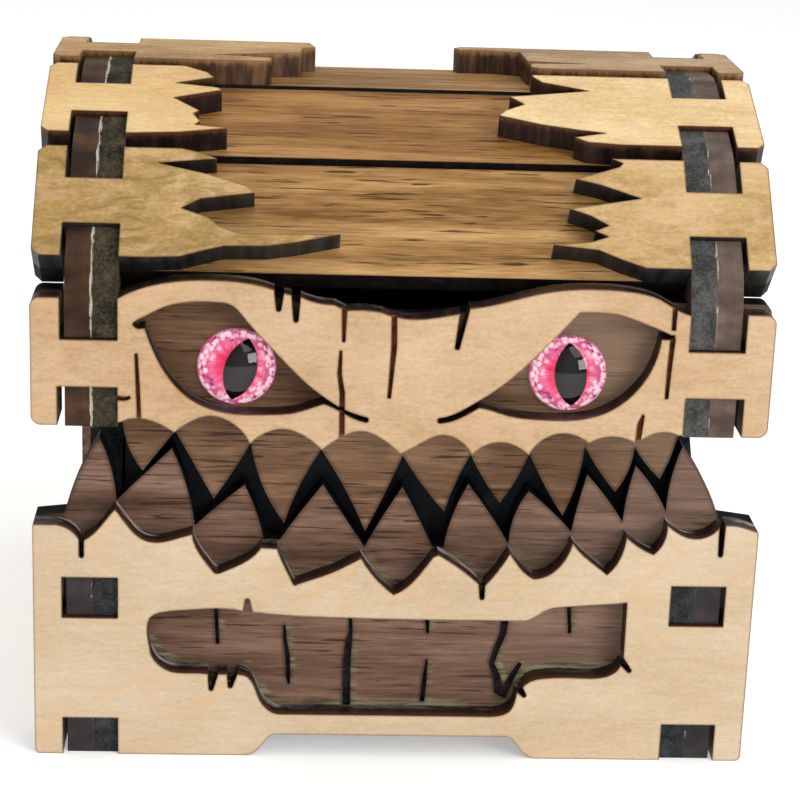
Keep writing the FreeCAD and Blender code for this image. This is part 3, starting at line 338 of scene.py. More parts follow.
class SheetCoat(Coat):
    """A sheet's material. Its place runs along the grain, across it and up from the inner face."""

    def __init__(self, name: str, lie: Lie, span: tuple[float, float]) -> None:
        """Starts the material.

        Args:
            name: the material's name.
            lie: the sheet's directions.
            span: places of its inner and outer face along lie.out, in millimetres.
        """
        super().__init__(name, lie.turn(), (0, 0, -span[0]))
        self.out = lie.out
        self.thickness_mm = span[1] - span[0]
        self.depth = self.add("SeparateXYZ", {0: self.place}, out=2)
        self.normal = self.add("TexCoord", out="Normal")


# ---- finishes
@dataclass(frozen=True)
class SheetWood:
    """Sheet wood cut by laser: a dry, satin face, and smooth edges that the beam has charred.

    Raw wood and char scatter light and mirror little of it, so the specular level is low.
    """

    name: str
    tones: Tones  # face
    edge: Tones  # charred edge
    engraved: str = "#8A451A"  # floor of the engraved cracks
    scorch: str = "#A9743E"  # heat-browned zone beside each cut
    scorch_share: float = 0.5
    scorch_mm: float = 0.4
    line: str = "#2E190D"  # burnt line right at the cut
    line_share: float = 0.9
    face_roughness: float = 0.5
    edge_roughness: float = 0.42
    specular: float = 0.3
    glue: float = 0.0  # how much of the joint between the layers shows dried glue
    glue_colour: str = "#C9C3B4"
    glue_mm: tuple[float, float] = (0.17, 0.08)  # from the joint to the glue's border and to its core
    painted_sheen: float = 0.0  # share of painted sheen: a pale highlight painted on edges that face up and right, towards the lamps
    painted_sheen_colour: str = "#B3ABA6"
    painted_arris_glint: str = "#6E655E"  # painted highlight: a pale line along each corner, standing in for the glint of the rounded arris
    painted_arris_glint_share: float = 0.5
    arris_mm: float = 0.14  # radius of the sheet's corners
    # Closeness to a corner, as closeness() gives it, where each mark begins and where it is full.
    scorch_near: tuple[float, float] = (0.995, 0.86)
    line_near: tuple[float, float] = (0.975, 0.9)
    painted_arris_glint_near: tuple[float, float] = (0.93, 0.78)
    # Where a surface begins and ends to count as cut: its turn out of the sheet's plane, and its depth.
    cut_turn: tuple[float, float] = (0.75, 0.55)
    cut_mm: tuple[float, float] = (0.05, 0.12)
    # How far worn spots spread the roughness of a face and of an edge.
    face_wear: float = 0.12
    edge_wear: float = 0.24

    def face(self, coat: SheetCoat) -> tuple[Socket, Socket]:
        """Colour and height of the face."""
        raise NotImplementedError

    def cut(self, coat: SheetCoat) -> tuple[Socket, Socket]:
        """Colour and height of the charred edge."""
        raise NotImplementedError

    def joint(self, depth: Socket, thickness_mm: float) -> Limit:
        """The part of the edge that meets the other layer, as a limit for mask."""
        raise NotImplementedError

    def make(self, lie: Lie, span: tuple[float, float], suffix: str) -> bpy.types.Material:
        """Builds the material for a sheet.

        Args:
            lie: the sheet's directions.
            span: places of its inner and outer face along lie.out, in millimetres.
            suffix: tells this material from others of the same finish.

        Returns:
            The material.
        """
        coat = SheetCoat(f"{self.name}_{suffix}", lie, span)
        edge, groove = self.regions(coat)
        face_colour, face_height = self.face(coat)
        edge_colour, edge_height = self.cut(coat)
        # The beam leaves more soot where it slowed down, so the floor of a crack is darker in places.
        slowed = coat.figure((1.4, 1.4, 1.4), 3, 0.6)
        crack_floor = coat.lay_over(self.engraved, self.line, (slowed, 0.42, 0.62, 0.75))
        edge_colour = coat.lay_over(edge_colour, crack_floor, groove)
        # Dried glue at the joint, and a painted sheen: pale highlights painted on edges that face up and
        # right.
        edge_colour, painted_sheen = self.glue_and_sheen(coat, edge_colour)

        # Heat browns the face beside a cut, darkest right at the corner.
        near = self.closeness(coat, self.scorch_mm)
        face_colour = coat.lay_over(face_colour, self.scorch, (near, *self.scorch_near, self.scorch_share))
        face_colour = coat.lay_over(face_colour, self.line, (near, *self.line_near, self.line_share))
        # Painted highlight: a pale line along each rounded corner, in place of the glint of its arris.
        near = self.closeness(coat, self.arris_mm)
        edge_colour = coat.lay_over(edge_colour, self.painted_arris_glint, (near, *self.painted_arris_glint_near, self.painted_arris_glint_share))

        height = coat.add("Mix", {0: edge, 2: face_height, 3: edge_height})
        arris = coat.add("Bevel", {"Radius": self.arris_mm * MM}, samples=4)
        bump = coat.add("Bump", {"Height": height, "Strength": 0.5, "Distance": 0.1 * MM, "Normal": arris})
        wear = coat.figure((1.5, 1.5, 1.5))
        face_rough = coat.add("Math", {0: wear, 1: self.face_wear,
                                       2: self.face_roughness - self.face_wear / 2}, operation="MULTIPLY_ADD")
        # The floor of a crack is all soot and dull, and the edge is made glossier where the painted sheen
        # lies.
        edge_spread = coat.weigh((wear, self.edge_wear), (groove, 0.45), (painted_sheen, -0.12))
        edge_rough = coat.add("Math", {0: edge_spread, 1: self.edge_roughness - self.edge_wear / 2},
                              operation="ADD")
        rough = coat.add("Mix", {0: edge, 2: face_rough, 3: edge_rough})
        return coat.finish({"Base Color": coat.lay_over(face_colour, edge_colour, edge), "Roughness": rough,
                            "Specular IOR Level": self.specular, "Normal": bump})

    def regions(self, coat: SheetCoat) -> tuple[Socket, Socket]:
        """Tells cuts from the sheet's faces, which look along its own direction and lie on its surfaces.

        Args:
            coat: the sheet's material.

        Returns:
            Masks of everything that is cut, and of the engraved floors alone.
        """
        along = coat.add("VectorMath", {0: coat.normal, 1: coat.out}, out="Value", operation="DOT_PRODUCT")
        upright = coat.mask((coat.add("Math", {0: along}, operation="ABSOLUTE"), *self.cut_turn))
        beneath = coat.add("Math", {0: coat.thickness_mm, 1: coat.depth}, operation="SUBTRACT")
        nearest = coat.add("Math", {0: coat.depth, 1: beneath}, operation="MINIMUM")
        deep = coat.mask((nearest, *self.cut_mm))
        return (coat.add("Math", {0: upright, 1: deep}, operation="MAXIMUM"),
                coat.add("Math", {0: deep, 1: upright}, operation="SUBTRACT", use_clamp=True))

    def closeness(self, coat: SheetCoat, reach_mm: float) -> Socket:
        """How near a corner is: 1 away from it, falling to about 0.7 at the corner.

        Args:
            coat: the sheet's material.
            reach_mm: where it starts to fall.

        Returns:
            The value's output.
        """
        rounded = coat.add("Bevel", {"Radius": reach_mm * MM}, samples=4)
        flat = coat.add("NewGeometry", out="Normal")
        return coat.add("VectorMath", {0: rounded, 1: flat}, out="Value", operation="DOT_PRODUCT")

    def glue_and_sheen(self, coat: SheetCoat, colour: Socket) -> tuple[Socket, Socket]:
        """Dried glue that the joining leaves on an edge, in a wavy thread, and a painted sheen: pale
        highlights painted on edges that face up and right.

        Args:
            coat: the sheet's material.
            colour: the edge without them.

        Returns:
            The edge's colour and the painted sheen's mask.
        """
        thickness_mm = coat.thickness_mm
        if self.glue:
            wander = coat.add("Math", {0: coat.figure((2.5, 2.5, 2.5), 3), 1: 0.7, 2: -0.35},
                              operation="MULTIPLY_ADD")
            waved = coat.add("Math", {0: coat.depth, 1: wander}, operation="ADD")
            lumps = coat.figure((1.6, 1.6, 0.8), 3)
            gap = 0.75 - 0.5 * self.glue
            colour = coat.lay_over(colour, self.glue_colour, self.joint(waved, thickness_mm),
                                   (lumps, gap, gap + 0.15, 0.85))
        # Painted sheen: a pale highlight painted on edges that face up and right, ragged near the joint and
        # broken into fine lines.
        facing = coat.add("VectorMath", {0: coat.normal, 1: (0.7, 0.0, 0.7)}, out="Value",
                          operation="DOT_PRODUCT")
        ragged = coat.weigh((coat.depth, 1.0), (coat.figure((1.2, 1.2, 1.2), 3, 0.6), 1.6))
        lines = coat.figure((4, 4, 0.5), 3, 0.6, 0.3)
        painted_sheen = coat.mask((facing, 0.6, 0.92), (ragged, 0.75 * thickness_mm, 0.5 * thickness_mm, self.painted_sheen),
                         (lines, 0.42, 0.56))
        return coat.lay_over(colour, self.painted_sheen_colour, painted_sheen), painted_sheen


@dataclass(frozen=True)
class BirchPly(SheetWood):
    """Birch plywood, raw: pale, close-grained face with small flecks; charred edge with its plies."""

    blush: str = "#DCB38E"  # pinkish clouds
    stain: str = "#DDB078"  # warm flame figure
    stain_share: float = 0.36
    flame_turn: float = -38.0  # degrees between the flames and the grain
    mottle: float = 0.0  # greenish-brown blotches of an oiled face
    mottle_colour: str = "#80632F"
    rim: str = "#6A3B24"  # edge next to the outer face, where the beam burns least
    rim_share: float = 0.85
    rim_mm: tuple[float, float] = (0.1, 0.9)  # how deep it reaches, and how far its border is spread
    streak_mm: float = 1.2  # spacing of the beam's marks along the edge
    ply: float = 0.15  # half of the middle ply, as a share of the sheet
    ply_share: float = 0.2  # how much darker it burns

    def face(self, coat: SheetCoat) -> tuple[Socket, Socket]:
        """Pale face: slow tone changes, grain 3 mm long, flecks under 1 mm and a slanting flame.

        Birch pores are a tenth of a millimetre wide, too fine to show, so the flecks are drawn 0.35 mm
        wide.

        Args:
            coat: the sheet's material.

        Returns:
            Its colour and height.
        """
        slow = coat.figure((24, 11, 11), 3, 0.55, 0.5)
        grain = coat.figure((3.2, 0.8, 0.8), 3, 0.6, 0.4)
        speck = coat.figure((0.7, 0.4, 0.4), 2, 0.6)
        colour = coat.add("ValToRGB", {0: coat.weigh((slow, 0.46), (grain, 0.28), (speck, 0.26))},
                          stops=zip((0.38, 0.5, 0.62), self.tones))
        clouds = coat.figure((4, 2.5, 2.5), 3, 0.6, 0.5)
        colour = coat.lay_over(colour, self.blush, (clouds, 0.48, 0.64, 0.3))
        flecks = coat.figure((0.9, 0.35, 0.35), 2)
        colour = coat.lay_over(colour, self.tones[0], (flecks, 0.62, 0.74, 0.4))
        slanted = coat.add("Mapping", {"Vector": coat.place,
                                       "Rotation": (0, 0, math.radians(self.flame_turn))})
        flame = coat.figure((24, 3, 40), 3, 0.6, 0.6, place=slanted)
        colour = coat.lay_over(colour, self.stain, (flame, 0.57, 0.7, self.stain_share))
        if self.mottle:
            blotch = coat.figure((6, 2.6, 2.6), 6, 0.72, 0.8)
            colour = coat.lay_over(colour, self.mottle_colour, (blotch, 0.46, 0.66, self.mottle))
        return colour, grain

    def cut(self, coat: SheetCoat) -> tuple[Socket, Socket]:
        """Three plies, browned by the beam, paler and redder next to the outer face.

        Args:
            coat: the sheet's material.

        Returns:
            Its colour and height.
        """
        thickness_mm = coat.thickness_mm
        streaks = coat.figure((self.streak_mm, self.streak_mm, 6), 3, 0.5)
        colour = coat.add("ValToRGB", {0: streaks}, stops=zip((0.34, 0.5, 0.68), self.edge))
        middle_ply = coat.add("Math", {0: coat.depth, 1: thickness_mm / 2, 2: self.ply * thickness_mm},
                              operation="COMPARE")
        burnt = coat.add("Math", {0: middle_ply, 1: self.ply_share}, operation="MULTIPLY")
        colour = coat.lay_over(colour, self.edge[0], burnt)
        fray = coat.figure((0.8, 0.8, 3), 3, 0.65)
        reach, spread = self.rim_mm
        start = thickness_mm - reach
        outer = (coat.weigh((coat.depth, 1.0), (fray, 1.6)), start, start + spread, self.rim_share)
        return coat.lay_over(colour, self.rim, outer), streaks

    def joint(self, depth: Socket, thickness_mm: float) -> Limit:
        """The birch layer meets the walnut with its inner face."""
        return depth, *self.glue_mm


@dataclass(frozen=True)
class WalnutBoard(SheetWood):
    """Fibreboard with walnut veneer: open-grained brown face, black matt edge of charred fibres."""

    pore: str = "#33200F"
    specular: float = 0.15
    edge_roughness: float = 0.75
    painted_shade: float = 0.0  # share of painted shade, darker towards the left end
    painted_shade_colour: str = "#26170E"
    painted_shade_mm: tuple[float, float] = (-12, -42)  # where that starts and is full, to the right of the middle
    painted_reflection: float = 0.0  # share of painted reflection: a pale veil where a window's sheen would fall
    painted_reflection_colour: str = "#A08A7E"
    painted_reflection_way: Triple = (1.0, 0.0, 0.0)  # direction in which the painted reflection grows
    painted_reflection_mm: tuple[float, float] = (2.0, 32.0)  # where that starts and is full
    squeeze: float = 0.0  # share of glue pressed out along the birch's lower edges
    squeeze_mm: float = 1.2  # how far it ran
    squeeze_high: tuple[float, float] = (32, 18)  # heights in mm where it starts and is full
    squeeze_dark: str = "#57523E"
    squeeze_light: str = "#9A9674"

    def face(self, coat: SheetCoat) -> tuple[Socket, Socket]:
        """Veneer: soft bands 4 mm wide, fine fibre, and sparse dark pore lines about 8 mm long.

        Walnut pores are 0.15 mm wide, too fine to show, so they are drawn twice as coarse.

        Args:
            coat: the sheet's material.

        Returns:
            Its colour and height.
        """
        bands = coat.figure((50, 3.6, 3.6), 3, 0.5, 0.8)
        fibre = coat.figure((5, 0.4, 0.4), 3, 0.6, 0.3)
        colour = coat.add("ValToRGB", {0: coat.weigh((bands, 0.64), (fibre, 0.36))},
                          stops=zip((0.36, 0.5, 0.64), self.tones))
        growth = coat.figure((30, 1.1, 1.1), 2, 0.5, 0.6)
        pores = coat.mask((coat.figure((8, 0.34, 0.34), 2, 0.5, 0.4), 0.6, 0.68, 0.85))
        colour = coat.lay_over(colour, self.tones[0], (growth, 0.58, 0.68, 0.45))
        colour = coat.lay_over(colour, self.pore, pores)
        along = coat.add("SeparateXYZ", {0: coat.place})
        # Painted shade: the veneer darker towards the left end.
        colour = coat.lay_over(colour, self.painted_shade_colour, (along, *self.painted_shade_mm, self.painted_shade))
        # Painted reflection: a pale veil laid over the veneer, growing along its direction.
        paling = coat.add("VectorMath", {0: coat.place, 1: self.painted_reflection_way}, out="Value",
                          operation="DOT_PRODUCT")
        colour = coat.lay_over(colour, self.painted_reflection_colour, (paling, *self.painted_reflection_mm, self.painted_reflection))
        if self.squeeze:
            colour = self.squeezed(coat, colour)
        return colour, coat.weigh((fibre, 0.4), (pores, -0.5))

    def squeezed(self, coat: SheetCoat, colour: Socket) -> Socket:
        """Lays dried glue in the corners that open up and right, where it ran together.

        Args:
            coat: the sheet's material.
            colour: the veneer.

        Returns:
            The colour with glue.
        """
        # Looking down and left along the sheet, a corner is where something solid is close by.
        down = coat.add("CombineXYZ", {0: -0.55, 1: -0.25, 2: -0.8})
        down = coat.add("VectorTransform", {0: down}, vector_type="NORMAL", convert_from="OBJECT",
                        convert_to="WORLD")
        corner = coat.add("AmbientOcclusion", {"Distance": self.squeeze_mm * MM, "Normal": down}, out="AO",
                          samples=16)
        lumps = coat.figure((9, 3, 3), 3, 0.55, 0.4)
        low = coat.add("SeparateXYZ", {0: coat.place}, out=1)
        wrinkles = coat.figure((6, 0.5, 0.5), 2)
        glue = coat.lay_over(self.squeeze_dark, self.squeeze_light, (wrinkles, 0.4, 0.62))
        return coat.lay_over(colour, glue, (corner, 0.9, 0.66), (lumps, 0.38, 0.54),
                             (low, *self.squeeze_high, self.squeeze))

    def cut(self, coat: SheetCoat) -> tuple[Socket, Socket]:
        """Charred fibres: rough black with grey crumbs in soft clouds.

        A fibre is a twentieth of a millimetre wide, too fine to show, so the crumbs are drawn 0.35 mm
        wide.

        Args:
            coat: the sheet's material.

        Returns:
            Its colour and height.
        """
        crumbs = coat.figure((0.35, 0.35, 0.35), 4, 0.65)
        cloud = coat.figure((2.5, 2.5, 2.5), 3, 0.6, 0.5)
        colour = coat.add("ValToRGB", {0: coat.weigh((crumbs, 0.5), (cloud, 0.5))},
                          stops=zip((0.4, 0.5, 0.64), self.edge))
        return colour, crumbs

    def joint(self, depth: Socket, thickness_mm: float) -> Limit:
        """The walnut layer meets the birch with its outer face."""
        return depth, *(thickness_mm - reach for reach in self.glue_mm)


@dataclass(frozen=True)
class BlackCard:
    """Dyed card: dull black with short lighter fibres."""

    name: str = "black_card"
    tones: Tones = ("#0C1118", "#161D26", "#262D36")
    fibre_mm: float = 0.5

    def make(self) -> bpy.types.Material:
        """Builds the material.

        Returns:
            The material.
        """
        coat = Coat(self.name)
        fibres = coat.figure((self.fibre_mm,) * 3, 4, 0.65, 1.0)
        colour = coat.add("ValToRGB", {0: fibres}, stops=zip((0.35, 0.6, 0.75), self.tones))
        bump = coat.add("Bump", {"Height": fibres, "Strength": 0.5, "Distance": 0.05 * MM})
        rough = coat.add("Math", {0: fibres, 1: 0.2, 2: 0.6}, operation="MULTIPLY_ADD")
        return coat.finish({"Base Color": colour, "Roughness": rough, "Specular IOR Level": 0.3,
                            "Normal": bump})


@dataclass(frozen=True)
class HingeMetal:
    """Rolled metal of small box hinges: brushed along the leaf, with darker tarnish."""

    name: str
    bright: str
    tarnish: str
    roughness: float = 0.32
    spread: float = 0.16  # how far the brushing and the tarnish each spread it

    def make(self) -> bpy.types.Material:
        """Builds the material. Brush lines are finer than 0.05 mm and are drawn 0.12 mm wide to show.

        Returns:
            The material.
        """
        coat = Coat(self.name)
        brush = coat.figure((6, 0.12, 0.12), 3, 0.6)
        cloud = coat.mask((coat.figure((3, 2, 2), 4, 0.6), 0.45, 0.7, 0.7))
        matt = coat.add("Math", {0: cloud, 1: self.spread, 2: self.roughness - self.spread / 2},
                        operation="MULTIPLY_ADD")
        rough = coat.add("Math", {0: brush, 1: self.spread, 2: matt}, operation="MULTIPLY_ADD")
        bump = coat.add("Bump", {"Height": brush, "Strength": 0.3, "Distance": 0.02 * MM})
        return coat.finish({"Base Color": coat.lay_over(self.bright, self.tarnish, cloud), "Roughness": rough,
                            "Metallic": 1.0, "Normal": bump})


class PrintCoat(Coat):
    """The printed iris's material. Its place starts from the centre and runs across and up the slit."""

    def __init__(self, name: str, centre: tuple[float, float], lean: float, radius_mm: float) -> None:
        """Starts the material.

        Args:
            name: the material's name.
            centre: of the iris, x and z in metres.
            lean: degrees that the slit leans to the right at its top.
            radius_mm: of the iris.
        """
        turn = Matrix.Rotation(math.radians(lean), 3, "Z") @ Matrix(((1, 0, 0), (0, 0, 1), (0, -1, 0)))
        shift = turn @ Vector((centre[0], 0, centre[1])) / MM
        super().__init__(name, tuple(turn.to_euler()), (-shift.x, -shift.y, 0))
        self.across = self.add("SeparateXYZ", {0: self.place})
        self.up = self.across.node.outputs[1]
        self.flat = self.add("CombineXYZ", {0: self.across, 1: self.up})
        self.radius = self.add("VectorMath", {0: self.flat}, out="Value", operation="LENGTH")
        self.share = self.add("Math", {0: self.radius, 1: radius_mm}, operation="DIVIDE")


@dataclass(frozen=True)
class PrintedIris:
    """Paper print of a slit-pupilled iris, bonded under glass: pink fibres, a pale beaded rim, a dark slit.

    With no air behind the glass the print mirrors nothing of its own.
    """

    name: str
    centre: tuple[float, float]  # x and z, in metres
    lean: float  # degrees that the slit leans to the right at its top
    slit_shift_mm: float = 0.0  # slit to the right of the eye's middle
    radius_mm: float = 4.85
    slit_half_mm: tuple[float, float] = (1.7, 3.7)
    slit_colours: tuple[str, str] = ("#070506", "#1F1B1B")  # at its border and in its middle
    fibre_tones: tuple = ((0.26, "#D2204E"), (0.38, "#EE4378"), (0.5, "#F388AA"), (0.64, "#F6BFD0"),
                          (0.8, "#FFECF2"))
    bead_mm: float = 0.7  # distance from bead to bead
    bead: str = "#FFF0F5"
    net: str = "#D0608C"  # between the beads
    speck: str = "#93406F"
    rim: str = "#B04A78"
    # Painted light: how strongly the print glows with its own colour.
    painted_glow: float = 0.55

    def make(self) -> bpy.types.Material:
        """Builds the material, with its pattern around the iris centre.

        Returns:
            The material.
        """
        coat = PrintCoat(self.name, self.centre, self.lean, self.radius_mm)
        colour = self.beads(coat, self.fibres(coat))
        colour = coat.lay_over(colour, self.rim, (coat.share, 0.9, 0.975, 0.8))
        colour = self.slit(coat, colour)
        # Painted light: the print glows with its own colour, standing in for the light that the glass dome
        # keeps from it.
        return coat.finish({"Base Color": colour, "Roughness": 0.5, "Specular IOR Level": 0.0,
                            "Emission Color": colour, "Emission Strength": self.painted_glow})

    def fibres(self, coat: PrintCoat) -> Socket:
        """Fibres that run outwards, deep pink at the slit and paler towards the rim.

        Args:
            coat: the print's material.

        Returns:
            Their colour.
        """
        # Around the eye the pattern follows a circle, so that it has no seam.
        angle = coat.add("Math", {0: coat.up, 1: coat.across}, operation="ARCTAN2")
        circle = coat.add("CombineXYZ", {
            0: coat.add("Math", {0: angle}, operation="COSINE"),
            1: coat.add("Math", {0: angle}, operation="SINE"),
            2: coat.add("Math", {0: coat.radius, 1: 0.05}, operation="MULTIPLY")})
        threads = coat.figure((0.07, 0.07, 0.12), 3, 0.6, place=circle)
        tone = coat.add("Math", {0: coat.weigh((coat.share, 0.75), (threads, 0.75)), 1: 0.36},
                        operation="SUBTRACT")
        return coat.add("ValToRGB", {0: tone}, stops=self.fibre_tones)

    def beads(self, coat: PrintCoat, colour: Socket) -> Socket:
        """Pale beads in the outer half, netted in deeper pink, with purple specks.

        Args:
            coat: the print's material.
            colour: the fibres.

        Returns:
            The colour with beads.
        """
        outer = coat.mask((coat.share, 0.42, 0.7))
        cell = coat.add("TexVoronoi", {"Vector": coat.flat, "Scale": 1 / self.bead_mm, "Randomness": 0.9},
                        out="Distance")
        patch = coat.figure((1.8, 1.8, 1.8), 2, place=coat.flat)
        specks = coat.figure((0.8, 0.8, 0.8), 2, 0.5, place=coat.flat)
        colour = coat.lay_over(colour, self.net, (cell, 0.45, 0.75, outer))
        colour = coat.lay_over(colour, self.bead, (cell, 0.6, 0.2, outer), (patch, 0.3, 0.5))
        return coat.lay_over(colour, self.speck, (specks, 0.57, 0.66, outer))

    def slit(self, coat: PrintCoat, colour: Socket) -> Socket:
        """The slit, where two circles of the same radius overlap.

        Args:
            coat: the print's material.
            colour: the iris around it.

        Returns:
            The colour with the slit.
        """
        half_wide, half_high = self.slit_half_mm
        arc = (half_wide ** 2 + half_high ** 2) / (2 * half_wide)
        aside = coat.add("Math", {0: coat.across, 1: self.slit_shift_mm}, operation="SUBTRACT")
        aside = coat.add("Math", {0: aside}, operation="ABSOLUTE")
        pushed = coat.add("Math", {0: aside, 1: arc - half_wide}, operation="ADD")
        reach = coat.add("VectorMath", {0: coat.add("CombineXYZ", {0: pushed, 1: coat.up})}, out="Value",
                         operation="LENGTH")
        pupil = coat.lay_over(*self.slit_colours, (reach, arc - 0.1, arc - 1.6))
        return coat.lay_over(colour, pupil, (reach, arc + 0.07, arc - 0.07))


@dataclass(frozen=True)
class ClearGlass:
    """Polished soda-lime glass: clear, with sharp highlights."""

    name: str = "clear_glass"
    ior: float = 1.5
    ripple_mm: float = 2.2  # faint ripples of the pressed dome

    def make(self) -> bpy.types.Material:
        """Builds the material. The ripples keep its highlights from being perfect.

        Returns:
            The material.
        """
        coat = Coat(self.name)
        ripple = coat.figure((self.ripple_mm,) * 3)
        bump = coat.add("Bump", {"Height": ripple, "Strength": 0.15, "Distance": 0.05 * MM})
        return coat.finish({"Base Color": "#FFFFFF", "Roughness": 0.02, "IOR": self.ior,
                            "Transmission Weight": 1.0, "Normal": bump})


RAW_BIRCH = ("#C4AA88", "#D0B999", "#D8C5A9")
BIRCH_CHAR = ("#120D0B", "#241812", "#3A2A20")
GREY_CHAR = ("#181819", "#252627", "#333436")
WALNUT_CHAR = ("#060709", "#0D0F13", "#1E2023")
# The two front faces carry a painted sheen: pale highlights painted on their edges that face up and right.
BIRCH_FRONT = BirchPly("birch_front", RAW_BIRCH, BIRCH_CHAR, glue=0.65, glue_colour="#9C9A88", painted_sheen=1.0,
                       rim="#5E3024", rim_mm=(0.6, 0.9))
BIRCH_FACE = BirchPly("birch_face", ("#BC966B", "#CAA983", "#D7BA97"), BIRCH_CHAR, glue=0.4,
                      glue_colour="#9C9A88", painted_sheen=0.4)
# The tab ends of the side walls: a brown ply with a thread of white glue against grey-green fibreboard.
BIRCH_LEFT = BirchPly("birch_left", RAW_BIRCH, ("#31231B", "#483223", "#5B4331"), glue=1.0, rim_share=0.0,
                      streak_mm=3.0, specular=0.1)
# The right tab ends get lighter edge tones than the left ones: painted light, as if lit from the right.
BIRCH_RIGHT_PAINTED_LIT = replace(BIRCH_LEFT, name="birch_right_painted_lit", edge=("#4E4039", "#65544A", "#7A685C"), glue=0.55,
                      specular=0.15)
BIRCH_STEP = replace(BIRCH_LEFT, name="birch_step", edge=("#1B1615", "#2A2424", "#3B3433"), glue=0.3,
                     specular=0.3)
BIRCH_OILED = BirchPly("birch_oiled", ("#97763A", "#B69256", "#CFAE78"), GREY_CHAR, mottle=0.75,
                       mottle_colour="#86692F", rim_share=0.2)
BIRCH_WARM = BirchPly("birch_warm", ("#AF894F", "#C8A46C", "#DBBA88"), GREY_CHAR, mottle=0.35, rim_share=0.2)
BIRCH_GOLD = BirchPly("birch_gold", ("#CFA464", "#E4BD7E", "#F0CF95"), ("#1C1310", "#2C1F1A", "#44322A"),
                      rim="#6B4222")
BIRCH_CREAM = replace(BIRCH_GOLD, name="birch_cream", tones=("#D8B377", "#EECE96", "#FAE2B2"))
BIRCH_CROWN = BirchPly("birch_crown", ("#9E7748", "#CAA169", "#E6BE87"), ("#2A1A10", "#523521", "#7A5534"),
                       mottle=0.3, rim="#A87A48", rim_share=0.8, streak_mm=0.7)
BIRCH_GREY = replace(BIRCH_CROWN, name="birch_grey", tones=("#8F6F4C", "#B8966F", "#D1B28D"))
# The walnut faces carry painted shade towards the left, and a painted reflection that pales them towards the
# right, on the brow up at the eyes.
WALNUT_CHIN = WalnutBoard("walnut_chin", ("#563D2E", "#775A48", "#957463"), WALNUT_CHAR, engraved="#3A3236",
                          scorch="#33221A", scorch_mm=0.9, line="#1C1310", line_share=0.5, painted_shade=0.15,
                          painted_reflection=0.2, squeeze=0.85)
WALNUT_BROW = replace(WALNUT_CHIN, name="walnut_brow", tones=("#523822", "#73553D", "#917056"), painted_shade=0.1,
                      painted_reflection=0.35, painted_reflection_colour="#B09882", painted_reflection_way=(0.6, 0.8, 0.0), painted_reflection_mm=(42.0, 58.0),
                      squeeze=0.0)
WALNUT_PLANK = WalnutBoard("walnut_plank", ("#795429", "#AA804B", "#CFA36D"),
                           ("#0F0D0B", "#1A1613", "#2C2622"), engraved="#221B1A", scorch="#4A3018",
                           line="#2A1A0C", line_share=0.5)
WALNUT_DEEP = replace(WALNUT_PLANK, name="walnut_deep", tones=("#6D471E", "#9A6D3A", "#BB8B54"))
WALNUT_DULL = replace(WALNUT_PLANK, name="walnut_dull", tones=("#714E27", "#9F7748", "#C29768"))
WALNUT_LEFT = WalnutBoard("walnut_left", ("#533B2C", "#735745", "#90705F"),
                          ("#1F1C13", "#3A3526", "#544E3A"), glue=0.8)
# Its lighter edge tones than the left are painted light, as if lit from the right.
WALNUT_RIGHT_PAINTED_LIT = replace(WALNUT_LEFT, name="walnut_right_painted_lit", edge=("#323231", "#4A4A48", "#666562"), glue=0.4)
WALNUT_STEP = replace(WALNUT_LEFT, name="walnut_step", edge=("#1B1D1F", "#2F3133", "#44474A"), glue=0.3)


# ---- sub-assemblies
@dataclass
class SheetAssembly:
    """Sheets of the frame that keep their shape and get a finish.

    Each body has four walls of two layers, the birch outside and the walnut inside.
    """

    body: str
    walls: tuple[tuple[Wall, BirchPly, WalnutBoard], ...]
    made: dict[tuple, bpy.types.Material] = field(default_factory=dict)

    def build(self) -> None:
        """Dresses the walls, the front's and the sides' inner layers being the toothed ones."""
        for wall, birch, walnut in self.walls:
            side = wall.name.lower()
            stem = f"{self.body}_side_{side}" if wall in (Wall.LEFT, Wall.RIGHT) else f"{self.body}_{side}"
            suffix = self.body if wall is Wall.FRONT else f"{self.body}_{side}"
            self.lay(f"{stem}_outer", birch, wall.value, suffix)
            self.lay(f"{stem}_{'inner' if wall is Wall.BACK else 'teeth'}", walnut, wall.value, suffix)

    def lay(self, node_name: str, finish: SheetWood, lie: Lie, suffix: str) -> None:
        """Dresses one sheet, sharing its material with sheets in the same plane.

        Args:
            node_name: the frame's node.
            finish: the sheet's finish.
            lie: its directions.
            suffix: tells its material from others of the same finish.
        """
        span = lie.span(node_name)
        key = (finish.name, suffix, round(span[0], 2))
        if key not in self.made:
            self.made[key] = finish.make(lie, span, suffix)
        dress(node_name, self.made[key])


@dataclass
class Base(SheetAssembly):
    """Walls and floor of the base."""

    body: str = "base"
    walls: tuple = ((Wall.FRONT, BIRCH_FRONT, WALNUT_CHIN), (Wall.BACK, BIRCH_FRONT, WALNUT_CHIN),
                    (Wall.LEFT, BIRCH_STEP, WALNUT_STEP), (Wall.RIGHT, BIRCH_STEP, WALNUT_STEP))

    def build(self) -> None:
        """Dresses the walls and the floor."""
        super().build()
        self.lay("base_floor", WALNUT_CHIN, Wall.FLOOR.value, "base_floor")


